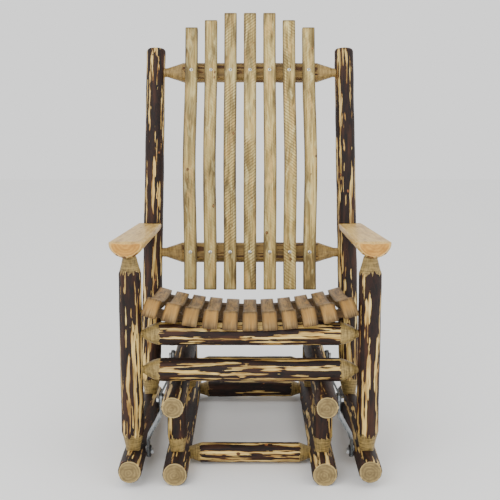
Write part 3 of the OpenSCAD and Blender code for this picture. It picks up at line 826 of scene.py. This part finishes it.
@dataclass
class Strip:
    """One sawn strip with eased corners, swept along a line.

    The path is the strip's middle line in millimetres, and across is the direction of its width.
    """

    name: str
    body: str
    slot: str
    path: np.ndarray
    across: np.ndarray
    width: float
    thick: float
    finish: Finish
    seed: int
    knots: int = 3
    ease: float = 2.6
    chatter_way: float = 1.0
    sawn: float = 0.2
    nose_mm: float = 0.0
    # how strongly painted shade darkens the flanks, which face the neighbouring strips
    flank_shade: float = 0.75

    def section(self) -> np.ndarray:
        """Rounded rectangle, counter-clockwise: four quarter arcs joined by straight sides.

        Returns:
            Points across the strip's width and thickness, in millimetres.
        """
        half = np.array([self.width, self.thick]) / 2.0 - self.ease
        a = np.linspace(0.0, math.pi / 2.0, 5)
        arc = np.stack([np.cos(a), np.sin(a)], -1) * self.ease
        turns = [((1, 1), arc), ((-1, 1), arc[:, ::-1] * (-1, 1)), ((-1, -1), -arc),
                 ((1, -1), arc[:, ::-1] * (1, -1))]
        arcs = [half * sign + bend for sign, bend in turns]
        share = np.linspace(0.0, 1.0, 7)[1:-1, None]
        gaps = [(1.0 - share) * arcs[k][-1] + share * arcs[(k + 1) % 4][0] for k in range(4)]
        return np.concatenate([part for pair in zip(arcs, gaps) for part in pair])

    def surface(self) -> tuple[Surface, np.ndarray]:
        """Sweeps the section along the path and closes it with flat sawn ends.

        Returns:
            The surface, and which of its faces belong to the ends, as ones and zeros.
        """
        noise, rng = Noise(self.seed), np.random.default_rng(self.seed)
        steps = np.linalg.norm(np.diff(self.path, axis=0), axis=1)
        walked = np.concatenate([[0.0], np.cumsum(steps)])
        total = walked[-1]
        ends = np.array([0.0, 0.5, 1.4, 2.6])
        s = np.concatenate([ends, np.arange(6.0, total - 6.0, 4.0), total - ends[::-1]])
        mid = np.stack([np.interp(s, walked, self.path[:, k]) for k in range(3)], -1)
        tangent = np.gradient(mid, s, axis=0)
        tangent /= np.linalg.norm(tangent, axis=1, keepdims=True)
        across = np.array(self.across, float)
        side = across - (tangent @ across)[:, None] * tangent
        side /= np.linalg.norm(side, axis=1, keepdims=True)
        other = np.cross(tangent, side)
        shrink = 1.4 * (1.0 - np.sin(np.clip(np.minimum(s, total - s) / 2.6, 0, 1) * math.pi / 2))
        cap = np.array([0.25, 0.5, 0.72, 0.88])
        pad = len(cap)
        pick = np.concatenate([np.zeros(pad, int), np.arange(len(s)), np.full(pad, len(s) - 1)])
        scale = np.concatenate([cap, np.ones(len(s)), cap[::-1]])[:, None]
        section = self.section()
        half = np.array([self.width, self.thick]) / 2.0
        eased = section[None] * (1.0 - shrink[pick][:, None, None] / half)
        u, v = eased[..., 0] * scale, eased[..., 1] * scale
        along = s[pick][:, None] * np.ones_like(u)
        rough = noise.layered(np.stack([u / 19.0, v / 19.0, along / 70.0], -1), 3)
        swell = 1.0 + 0.012 * rough
        rings = (mid[pick][:, None] + (u * swell)[..., None] * side[pick][:, None]
                 + (v * swell)[..., None] * other[pick][:, None])
        poles = mid[[0, -1]]
        offset = rng.uniform(-5.0, 5.0, 3)
        # painted shade: the edge field darkens the eased corners and the last millimetres before
        # each end
        inside = np.hypot(half[0] - np.abs(section[:, 0]), half[1] - np.abs(section[:, 1]))
        edge = (1.0 - smooth(inside, 0.8, 5.5))[None] * np.ones_like(u)
        near_end = 1.0 - smooth(np.minimum(along, total - along), 1.0, 7.0)
        edge = np.maximum(edge, 0.8 * near_end)
        # painted shade on the flanks
        flank = smooth(np.abs(section[:, 0]), half[0] - 1.6, half[0] - 0.2)[None]
        edge = np.maximum(edge, self.flank_shade * flank)
        # painted light: the nose field marks the lit front face of a seat strip's nose
        nose = (1.0 - smooth(along, self.nose_mm - 14.0, self.nose_mm)) * smooth(along, 4.0, 20.0)
        # painted shade: a dark line along the bend behind the nose
        crease = 0.55 * np.exp(-(((along - self.nose_mm) / 4.0) ** 2)) * (self.nose_mm > 0.0)
        edge = np.maximum(edge, crease)
        knot = np.full_like(along, NO_KNOT)
        for _ in range(self.knots):
            at, where = rng.uniform(0.1, 0.92) * total, rng.uniform(-0.4, 0.4) * self.width
            size = rng.uniform(2.4, 5.2)
            knot = np.minimum(knot, np.hypot((u - where) / size, (along - at) / (1.5 * size)))
        saw = (along * 0.82 + self.chatter_way * u * 0.6) * MM
        tone = rng.uniform(0.15, 0.85)
        zero = np.zeros((2, 1))
        fields = {
            "grain": (np.stack([u, v, along], -1) * MM + offset,
                      np.array([[0, 0, 0], [0, 0, total]]) * MM + offset),
            "disc": (np.stack([u, v, 0 * along], -1) * MM, np.zeros((2, 3))),
            "edge": (edge, zero), "knot": (knot, zero + NO_KNOT), "saw": (saw, zero),
            "sawn": (np.full_like(u, self.sawn), zero), "nose": (nose, zero),
            "rim": (scale * np.ones_like(u) * 0.8, zero),
            "tone": (np.full_like(u, tone), zero + tone),
        }
        return Surface(rings, poles, fields), sawn_end_faces(len(pick) - 1, pad, len(section))

    def build(self) -> bpy.types.Object:
        """Builds the strip, dresses it and puts it in the frame."""
        surface, cap_faces = self.surface()
        piece = make_piece(self.name + "_strip", surface)
        dress(piece, [self.finish, Finish.SLAT_END], self.body, self.name, cap_faces)
        return piece


@dataclass
class Arm:
    """Half-log arm: D-shaped section, faceted sawn front and a rear end coped round the post."""

    side: int
    place: tuple[float, float, float]
    fall: float
    overhang: float
    length: float
    flare: float
    widths: tuple[float, float]
    thicks: tuple[float, float]
    post_radius: float
    post_axis: tuple[tuple[float, float, float], tuple[float, float, float]]
    around: int = 120

    def section(self, angle: np.ndarray, width: np.ndarray, thick: np.ndarray) -> np.ndarray:
        """Distance to the D's outline from the middle of its thickness, along each angle from up.

        The least of three: the flat top, the two clipped sides and the round underside, whose
        radius is (w^2 / 4 + t^2) / 2t. They are blended a little, which eases the corners.

        Args:
            angle: Angles from up, towards the side.
            width: The D's width at each of them.
            thick: The D's thickness at each of them.

        Returns:
            The distances, in millimetres.
        """
        up, out = np.cos(angle), np.sin(angle)
        r = (width**2 / 4.0 + thick**2) / (2.0 * thick)
        far = 1e3
        top = np.where(up > 0.02, 0.5 * thick / np.maximum(up, 0.02), far)
        flank = (0.5 * width - 2.0) / np.maximum(np.abs(out), 0.02)
        flank = np.where(np.abs(out) > 0.02, flank, far)
        m = (0.5 * thick - r) * up
        under = -m + np.sqrt(np.maximum(m * m + r * r - (0.5 * thick - r) ** 2, 0.0))
        return (top**-18.0 + flank**-18.0 + under**-18.0) ** (-1.0 / 18.0)

    def world(self, up: np.ndarray, out: np.ndarray, along: np.ndarray) -> np.ndarray:
        """Puts points of the arm's own frame in the chair's: a turn by the fall, then a shift.

        Args:
            up: Heights above the middle of the arm's thickness.
            out: Distances sideways.
            along: Distances from the arm's front end.

        Returns:
            The points, with x, y and z in the last axis.
        """
        f = math.radians(self.fall)
        far = along - self.overhang
        x = self.place[0] + out
        y = self.place[1] + far * math.cos(f) + up * math.sin(f)
        z = self.place[2] - far * math.sin(f) + up * math.cos(f)
        return np.stack([x, y, z], -1)

    def reach(self, up: np.ndarray, out: np.ndarray) -> np.ndarray:
        """How far along the arm each line runs until it meets the rear post's round.

        The place is found by halving: each step keeps the half in which the line goes inside.

        Args:
            up: Heights of the lines above the middle of the arm's thickness.
            out: Their distances sideways.

        Returns:
            The distances from the arm's front end.
        """
        foot, way = (np.array(v) for v in self.post_axis)
        low, high = np.zeros_like(up), np.full_like(up, self.length + 40.0)
        for _ in range(22):
            middle = (low + high) / 2.0
            gap = self.world(up, out, middle) - foot
            t = gap @ way
            off = gap - t[..., None] * way
            beside = np.abs(off[..., 0])
            near = np.minimum(beside, self.post_radius)
            limit = -np.sqrt(np.maximum(self.post_radius**2 - near**2, 0.0))
            inside = off[..., 1] / way[2] > limit
            high, low = np.where(inside, middle, high), np.where(inside, low, middle)
        return (low + high) / 2.0

    def build(self) -> bpy.types.Object:
        """Builds the arm, dresses it and puts it in the frame."""
        seed = 700 + self.side
        noise, rng = Noise(seed), np.random.default_rng(seed)
        a = np.arange(self.around) * TAU / self.around
        cap = np.array([0.1, 0.22, 0.36, 0.5, 0.62, 0.72, 0.8, 0.86, 0.92, 0.965])
        share = np.concatenate([[0.0, 0.006, 0.015, 0.028], np.linspace(0.045, 0.98, 105),
                                [0.993, 1.0]])
        u = np.concatenate([np.zeros(len(cap)), share, np.ones(len(cap))])[:, None]
        scale = np.concatenate([cap, np.ones(len(share)), cap[::-1]])[:, None]
        angle = np.ones_like(u) * a[None, :]
        width = self.widths[0] + (self.widths[1] - self.widths[0]) * u
        thick = self.thicks[0] + (self.thicks[1] - self.thicks[0]) * u
        base = self.section(angle, width, thick)
        ca, sa = np.cos(angle), np.sin(angle)
        # hand-cut chamfer round the front: its width changes from facet to facet
        facet = np.round(noise.plain(np.stack([2.2 * ca, 2.2 * sa, 0 * ca + 5.0], -1)) * 3.0) / 3.0
        cut = (5.0 + 2.2 * facet) * (1.0 - smooth(u * self.length, 0.0, 9.0 + 3.0 * facet))
        under = smooth(-ca, 0.05, 0.45)
        along_mm = u * self.length + 0.0 * ca
        skin = noise.layered(np.stack([2.0 * ca, 2.0 * sa, along_mm / 140.0], -1), 3)
        fine = noise.layered(np.stack([6.0 * ca, 6.0 * sa, along_mm / 40.0], -1), 2)
        grow = (1.3 * skin + 0.5 * fine) * under + 0.25 * skin * (1.0 - under)
        dist = (base - cut + grow * smooth(u, 0.0, 0.03)) * scale
        drift = self.side * self.flare * u
        up, out = dist * ca - 0.5 * thick, dist * sa + drift
        end = self.reach(up, out)
        front = 0.9 * noise.plain(np.stack([up / 26.0, out / 26.0, 0 * up], -1))
        # a low ridge runs across the sawn front, where two cuts met
        front = front + 1.6 * smooth(np.abs(up + 0.62 * self.thicks[0] - 0.1 * out), 9.0, 0.0)
        front = front + 3.2 * smooth(scale, 0.7, 1.0) * 0.5
        along = (front * (1.0 - u)) + end * u
        rings = self.world(up, out, along)
        mid_up, mid_out = -0.5 * thick[[0, -1], 0], drift[[0, -1], 0]
        pole_along = np.array([float(front[0].mean()), float(self.reach(mid_up, mid_out)[1])])
        poles = self.world(mid_up, mid_out, pole_along)
        offset = rng.uniform(-5.0, 5.0, 3)
        bark = np.where(under > 0.4, 1.2 * skin + 0.5 * fine - 0.15, -1.5)
        knot = np.full_like(up, NO_KNOT)
        for _ in range(5):
            at, turn = rng.uniform(40, self.length - 40), rng.uniform(-36, 36)
            size = rng.uniform(3.0, 6.0)
            knot = np.minimum(knot, np.hypot((out - turn) / size, (along - at) / (1.5 * size)))
        zero = np.zeros((2, 1))
        flat = np.zeros_like(up)
        fields = {
            "grain": (np.stack([out, up, along], -1) * MM + offset,
                      np.stack([mid_out, mid_up, pole_along], -1) * MM + offset),
            "disc": (np.stack([out, up, flat], -1) * MM,
                     np.stack([mid_out, mid_up, 0 * mid_up], -1) * MM),
            "bark": (bark + flat, zero - 1.5), "cone": (flat + NO_CONE, zero + NO_CONE),
            "knot": (knot, zero + NO_KNOT), "rim": (scale + flat, zero),
            "tone": (flat + 0.5 + 0.1 * self.side, zero + 0.5 + 0.1 * self.side),
        }
        name = "arm_left" if self.side < 0 else "arm_right"
        # up, sideways and along make a right-handed order, so the faces point outwards
        piece = make_piece(name + "_half_log", Surface(rings, poles, fields))
        caps = sawn_end_faces(len(u) - 1, len(cap), self.around)
        dress(piece, [Finish.PLANED_LOG, Finish.ARM_END], "chair", name, caps)
        return piece


# ---------------------------------------------------------------- sub-assemblies


LEAN = math.radians(12.5)
SPLAY = math.radians(0.45)
SIDES = {-1: "left", 1: "right"}


@dataclass
class Base:
    """The fixed base: two runners, two rails on short posts, two stretchers and a cross rail."""

    origin_y: float
    runner: tuple[float, float, float, float] = (187.0, 30.3, -62.0, 590.0)
    rail: tuple[float, float, float, float] = (191.0, 203.0, -58.0, 560.0)
    post_places: tuple[float, float] = (20.0, 490.0)
    stretchers: tuple[float, float] = (70.0, 540.0)

    def logs(self) -> list[Log]:
        """Lists the base's logs."""
        y0 = self.origin_y
        made = []
        for side, word in SIDES.items():
            x, z, low, high = self.runner
            made.append(Log(f"base_runner_log_{word}", f"base_runner_{word}", "base",
                            "bark_runners", (side * x, y0, z), (side * x, y0 + 100, z),
                            sawn(low, high, 31.5), [],
                            110 + side, 0.8, flat_ahead=z))
            x, z, low, high = self.rail
            made.append(Log(f"base_rail_log_{word}", f"base_rail_{word}", "base", "bark_rails",
                            (side * x, y0, z), (side * x, y0 + 100, z), sawn(low, high, 29.0), [],
                            120 + side, 0.82))
            for end, y in zip(("front", "rear"), self.post_places):
                x = self.runner[0]
                made.append(Log(f"base_{end}_post_{word}", f"base_{end}_posts", "base",
                                "bark_posts", (side * x, y0 + y, 0),
                                (side * x, y0 + y, 100),
                                [(48, 14), (56, 18), (97, 25), (185, 24.6)], [(97, -1)],
                                int(130 + side + y), 0.74, 6.0))
        for end, y, share in zip(("front", "rear"), self.stretchers, (0.62, 0.82)):
            made.append(Log(f"base_{end}_stretcher_log", f"base_{end}_stretcher", "base",
                            "bark_rails", (0, y0 + y, 30.5), (100, y0 + y, 30.5),
                            coned(131, 25.5, 172),
                            [(131, 1), (-131, -1)], int(140 + y), share, 5.0))
        made.append(Log("base_rear_cross_rail_log", "base_rear_cross_rail", "base", "bark_rails",
                        (0, y0 + self.post_places[1], 125), (100, y0 + self.post_places[1], 125),
                        coned(131, 26.5, 172), [(131, 1), (-131, -1)], 151, 0.88, 5.0))
        return made

    def build(self) -> list[bpy.types.Object]:
        """Builds every log of the base."""
        return [log.build() for log in self.logs()]


@dataclass
class Frame:
    """The swinging chair's log frame: runners, posts, front rails and flatted rear rails."""

    origin_y: float
    half_width: float = 298.0
    runner: tuple[float, float, float] = (45.0, -78.0, 468.0)
    rear_foot: float = 389.0
    front_rails: tuple[float, float] = (375.0, 282.0)
    rear_rails: tuple[float, float, float] = (292.0, 482.0, 1022.0)

    def post_axis(self, side: int) -> tuple[tuple[float, ...], tuple[float, ...]]:
        """Works out how a rear post stands: turned back by the lean and inwards by the splay.

        Args:
            side: -1 on the left, 1 on the right.

        Returns:
            The foot on the runner's centre line, and the post's direction.
        """
        way = (-side * math.sin(SPLAY) * math.cos(LEAN), math.sin(LEAN),
               math.cos(SPLAY) * math.cos(LEAN))
        return (side * self.half_width, self.origin_y + self.rear_foot, self.runner[0]), way

    def logs(self) -> list[Log]:
        """Lists the chair frame's logs."""
        y0, x = self.origin_y, self.half_width
        z, low, high = self.runner
        made = []
        for side, word in SIDES.items():
            made.append(Log(f"side_runner_log_{word}", f"side_runner_{word}", "chair",
                            "bark_runners", (side * x, y0, z), (side * x, y0 + 100, z),
                            sawn(low, high, 29.5), [],
                            210 + side, 0.8))
            made.append(Log(f"front_post_log_{word}", f"front_post_{word}", "chair", "bark_posts",
                            (side * x, y0, 0), (side * x, y0, 100),
                            [(60, 14), (70, 18), (119, 28.5), (529, 28.3), (571, 17), (574, 14),
                             (590, 13)],
                            [(119, -1), (529, 1)], 220 + side, 0.76, 15.0))
            foot, way = self.post_axis(side)
            tip = tuple(f + 100.0 * w for f, w in zip(foot, way))
            made.append(Log(f"rear_post_log_{word}", f"rear_post_{word}", "chair", "bark_posts",
                            foot, tip, [(10, 14), (24, 18), (70, 29.5), (1067, 29.0), (1072, 26.6),
                                        (1074.5, 23.5)],
                            [(70, -1)], 230 + side, 0.76, 9.0))
        for z, word, share in zip(self.front_rails, ("upper", "lower"), (0.62, 0.68)):
            made.append(Log(f"front_rail_log_{word}", f"front_rail_{word}", "chair", "bark_rails",
                            (0, y0, z), (100, y0, z), coned(226, 29, 281, 9.4, 0.4667, 0.7),
                            [(226, 1), (-226, -1)], int(240 + z), share, 6.0))
        back = (0.0, math.cos(LEAN), -math.sin(LEAN))
        for z, (name, finish, slot, share) in zip(self.rear_rails, (
                ("seat_rear_rail", Finish.BARK_LOG, "bark_rails", 0.85),
                ("back_rail_lower", Finish.PEELED_LOG, "peeled_rails", 0.22),
                ("back_rail_upper", Finish.PEELED_LOG, "peeled_rails", 0.22))):
            y = y0 + self.rear_foot + (z - self.runner[0]) * math.tan(LEAN)
            made.append(Log(f"{name}_log", name, "chair", slot, (0, y, z), (100, y, z),
                            coned(206, 30.5, 285), [(206, 1), (-206, -1)], int(260 + z), share, 5.0,
                            flat_ahead=22.5, finish=finish, up=back))
        return made

    def build(self) -> list[bpy.types.Object]:
        """Builds the frame's logs and the two arms."""
        made = [log.build() for log in self.logs()]
        for side in SIDES:
            foot, way = self.post_axis(side)
            rear = self.rear_foot + (575.0 - self.runner[0]) * math.tan(LEAN)
            arm = Arm(side=side, place=(side * self.half_width, self.origin_y, 615.0), fall=5.2,
                      overhang=66.0, length=rear + 66.0, flare=6.0, widths=(90.0, 76.0),
                      thicks=(40.0, 36.0), post_radius=29.7, post_axis=(foot, way))
            made.append(arm.build())
        return made


@dataclass
class Seat:
    """Eleven contoured strips, rolled on the hollow's radius and fanned about their crest."""

    origin_y: float
    pitch: float = 48.0
    hollow: float = 880.0
    crest: tuple[float, float] = (22.0, 425.0)
    rear: float = 420.0
    fan: float = 0.955
    width: float = 38.0
    thick: float = 20.0

    def line(self) -> np.ndarray:
        """Middle line of a strip in its own upright plane: a quarter-turn nose, then the seat.

        The seat falls by 72u + 15 sin(pi u) - 5u(1 - u), with u from 0 at the crest to 1.

        Returns:
            Places and heights along the line, in millimetres, from the crest's height.
        """
        a = np.linspace(math.pi / 2.0, 0.0, 40)[:-1]
        down = self.thick / 2.0
        nose = np.stack([self.crest[0] + (-36.0 + down - self.crest[0]) * np.sin(a),
                         -down - (34.0 - down) * (1.0 - np.cos(a))], -1)
        u = np.linspace(0.0, 1.0, 120)
        y = self.crest[0] + (self.rear - self.crest[0]) * u
        z = -72.0 * u - 15.0 * np.sin(math.pi * u) + 5.0 * u * (1.0 - u) - down
        return np.concatenate([nose, np.stack([y, z], -1)])

    def build(self) -> list[bpy.types.Object]:
        """Builds the eleven seat strips."""
        line, made = self.line(), []
        for i in range(11):
            x = (i - 5) * self.pitch
            fan = math.atan(x * (1.0 - self.fan) / (self.rear - self.crest[0]))
            roll = math.asin(x / self.hollow)
            ahead = line[:, 0] - self.crest[0]
            px, py = -ahead * math.sin(fan), ahead * math.cos(fan) + self.crest[0]
            pz = line[:, 1] - self.hollow
            rise = px * math.sin(roll) + pz * math.cos(roll) + self.crest[1] + self.hollow
            aside = px * math.cos(roll) - pz * math.sin(roll)
            path = np.stack([aside, py + self.origin_y, rise], -1)
            across = np.array([math.cos(fan) * math.cos(roll), math.sin(fan),
                               math.cos(fan) * math.sin(roll)])
            made.append(Strip(f"seat_slat_{i + 1}", "chair", "seat_slats", path, across, self.width,
                              self.thick, Finish.SEAT_STRIP, 300 + i, 3, 2.2,
                              chatter_way=(-1.0) ** i, nose_mm=52.0).build())
        return made


@dataclass
class Back:
    """Seven bowed strips screwed to the front of the two back rails."""

    origin_y: float
    pitch: float = 59.5
    foot: float = 382.0
    top: float = 1204.0
    step: float = 22.0
    width: float = 38.0
    thick: float = 20.0
    rear_foot: float = 389.0
    datum: float = 45.0
    rails: tuple[float, float] = (482.0, 1022.0)
    spring: float = 4.5
    rough: tuple[int, ...] = (2, 3, 5)

    def bow(self, s: np.ndarray) -> np.ndarray:
        """Depth of the strips' curve: -56u(1 - u) between the rails, and 10(u - 1) above them.

        Args:
            s: Distances up the strip.

        Returns:
            How far forward of the straight line the strip is at each of them.
        """
        low, high = ((z - self.datum) / math.cos(LEAN) for z in self.rails)
        u = (s - low) / (high - low)
        inner = -56.0 * u * (1.0 - u) * np.where(u < 0.0, 0.4, 1.0)
        return np.where(u > 1.0, 10.0 * (u - 1.0), inner)

    def build(self) -> list[bpy.types.Object]:
        """Builds the seven back strips."""
        made = []
        lift = 42.5 * math.sin(LEAN)
        for i in range(7):
            out = max(0, abs(i - 3) - 1)
            low = (self.foot - lift - self.datum) / math.cos(LEAN)
            high = (self.top - self.step * out - lift - self.datum) / math.cos(LEAN)
            s = np.linspace(low, high, 160)
            ahead = self.bow(s) - 32.5
            y = self.origin_y + self.rear_foot + ahead * math.cos(LEAN) + s * math.sin(LEAN)
            z = self.datum - ahead * math.sin(LEAN) + s * math.cos(LEAN)
            # the outer strips have also been sprung outwards between the rails
            part = np.clip((z - self.rails[0]) / (self.rails[1] - self.rails[0]), 0.0, 1.0)
            x = (i - 3) * (self.pitch + self.spring / 3.0 * np.sin(math.pi * part) ** 2)
            path = np.stack([x, y, z], -1)
            made.append(Strip(f"back_slat_{i + 1}", "chair", "back_slats", path,
                              np.array([1.0, 0, 0]), self.width, self.thick,
                              Finish.BACK_STRIP, 400 + i, 3, 2.0,
                              chatter_way=(-1.0) ** (i // 2),
                              sawn=1.0 if i in self.rough else 0.25).build())
        return made


@dataclass
class Screws:
    """Screws of the back strips: shallow round heads with a driver recess, on plain shanks.

    Their rings follow a profile of (distance out of the strip's face, radius), shank to recess.
    """

    back: Back
    shank: float = 2.2
    head: float = 5.2
    dome: float = 1.3
    recess: float = 2.3
    depth: float = 1.5
    length: float = 40.0
    around: int = 36

    def profile(self) -> np.ndarray:
        """Profile of a screw: shank, flat underside, quarter-ellipse dome and driver recess.

        Returns:
            Pairs of place along the screw and radius, in millimetres.
        """
        a = np.linspace(0.0, 1.0, 6) * math.acos((self.recess + 0.4) / self.head)
        dome = np.stack([self.dome * np.sin(a) / math.sin(a[-1]), self.head * np.cos(a)], -1)
        shank = [(-self.length, self.shank - 1.2), (-self.length + 2.0, self.shank),
                 (-0.9, self.shank), (-0.8, self.head - 0.5), (-0.4, self.head)]
        hollow = [(self.dome, self.recess), (self.dome - self.depth, self.recess - 0.4),
                  (self.dome - self.depth - 0.1, 0.8)]
        return np.concatenate([shank, dome, hollow])

    def build(self) -> list[bpy.types.Object]:
        """Builds fourteen screws, each square to the leaning strips."""
        way = np.array([0.0, -math.cos(LEAN), math.sin(LEAN)])
        first = np.array([1.0, 0.0, 0.0])
        second = np.cross(way, first)
        out, radius = self.profile().T
        made = []
        for z, level in zip(self.back.rails, ("low", "high")):
            for i in range(7):
                a = np.arange(self.around) * TAU / self.around + 0.4 * i
                lobes = np.where((out > 0.0) & (radius < self.head * 0.5), 0.14, 0.0)[:, None]
                r = radius[:, None] * (1.0 + lobes * np.cos(6.0 * a)[None, :])
                centre = np.array([(i - 3) * self.back.pitch,
                                   self.back.origin_y + self.back.rear_foot
                                   + (z - self.back.datum) * math.tan(LEAN), z]) + 42.5 * way
                rings = (centre + out[:, None, None] * way + (r * np.cos(a))[..., None] * first
                         + (r * np.sin(a))[..., None] * second)
                poles = centre + out[[0, -1], None] * way
                piece = make_piece(f"back_screw_{level}_{i + 1}", Surface(rings, poles))
                # the recess's faces take the near-black finish: painted shade, with some dirt
                deep = np.zeros(len(out) - 1, int)
                deep[-2:] = 1
                faces = np.concatenate([np.repeat(deep, self.around), np.zeros(self.around, int),
                                        np.ones(self.around, int)])
                dress(piece, [Finish.ZINC, Finish.RECESS], "chair",
                      "back_screws", faces)
                made.append(piece)
        return made


@dataclass
class Ironwork:
    """Straps, bushes, bolts, washers and screws, whose CAD shapes stay, and the hidden boards."""

    finishes: dict[str, Finish] = field(default_factory=lambda: {
        "link_": Finish.STRAP, "bushes_": Finish.NYLON, "base_pivot_": Finish.ZINC,
        "chair_pivot_": Finish.ZINC, "arm_lag_": Finish.ZINC, "support_screws": Finish.ZINC,
        "seat_screws": Finish.ZINC,
        "seat_support_front": Finish.FRONT_BOARD, "seat_support_rear": Finish.REAR_BOARD,
    })

    def build(self) -> list[bpy.types.Object]:
        """Gives every carried-over node its finish."""
        made = []
        for node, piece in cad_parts.items():
            for start, finish in self.finishes.items():
                if node.startswith(start):
                    for slot in piece.material_slots:
                        slot.material = finish.material
                    if not piece.material_slots:
                        piece.data.materials.append(finish.material)
                    made.append(piece)
        return made


@dataclass
class Studio:
    """Pale floor, white surroundings, two soft lights and the camera."""

    lens: float = 62.64
    place: tuple[float, float, float] = (0.0, -2.3938, 1.0195)
    tilt_down: float = 8.27
    lift: float = -0.1

    def light(self, name: str, place: tuple[float, float, float], aim: tuple[float, float, float],
              size: float, power: float) -> None:
        """Hangs one soft square lamp that faces a point.

        Args:
            name: The lamp's name.
            place: Where it hangs.
            aim: The point that it faces.
            size: The length of its sides, in metres.
            power: Its power, in watts.
        """
        lamp = bpy.data.lights.new(name, "AREA")
        lamp.size, lamp.energy = size, power
        held = bpy.data.objects.new(name, lamp)
        bpy.context.scene.collection.objects.link(held)
        way = np.array(aim) - np.array(place)
        held.location = place
        held.rotation_euler = (math.atan2(math.hypot(way[0], way[1]), -way[2]), 0.0,
                               math.atan2(-way[0], way[1]))

    def build(self) -> None:
        """Makes the floor, the world, the lights and the camera."""
        half = 6.0
        mesh = bpy.data.meshes.new("floor")
        corners = [(-half, -half, 0), (half, -half, 0), (half, half, 0), (-half, half, 0)]
        mesh.from_pydata(corners, [], [(0, 1, 2, 3)])
        floor = bpy.data.objects.new("floor", mesh)
        bpy.context.scene.collection.objects.link(floor)
        paint = Painter("matt_white_studio_floor")
        floor.data.materials.append(paint.finish(Base_Color=linear("#f7f7f6"), Roughness=0.9))
        world = bpy.data.worlds.new("studio")
        world.use_nodes = True
        world.node_tree.nodes["Background"].inputs[0].default_value = (1.0, 1.0, 1.0, 1.0)
        world.node_tree.nodes["Background"].inputs[1].default_value = 1.3
        bpy.context.scene.world = world
        self.light("key", (-1.6, -2.6, 2.6), (0.0, 0.0, 0.5), 2.2, 60.0)
        self.light("fill", (2.2, -2.0, 1.6), (0.0, 0.0, 0.5), 2.0, 22.0)
        camera = bpy.data.objects.new("camera", bpy.data.cameras.new("camera"))
        bpy.context.scene.collection.objects.link(camera)
        camera.location = self.place
        camera.rotation_euler = (math.radians(90.0 - self.tilt_down), 0.0, 0.0)
        camera.data.sensor_width, camera.data.lens, camera.data.shift_y = 36.0, self.lens, self.lift
        bpy.context.scene.camera = camera


def main() -> None:
    """Builds the studio and every sub-assembly, and logs each piece."""
    logging.basicConfig(level=logging.INFO, format="%(message)s")
    low, high = node_box("front_post_left")
    origin_y = float(low[1] + high[1]) / 2.0
    Studio().build()
    back = Back(origin_y)
    for part in (Base(origin_y), Frame(origin_y), Seat(origin_y), back, Screws(back), Ironwork()):
        for piece in part.build():
            LOG.info("%s: %s, %d faces", type(part).__name__, piece.name, len(piece.data.polygons))


if __name__ == "__main__":
    main()
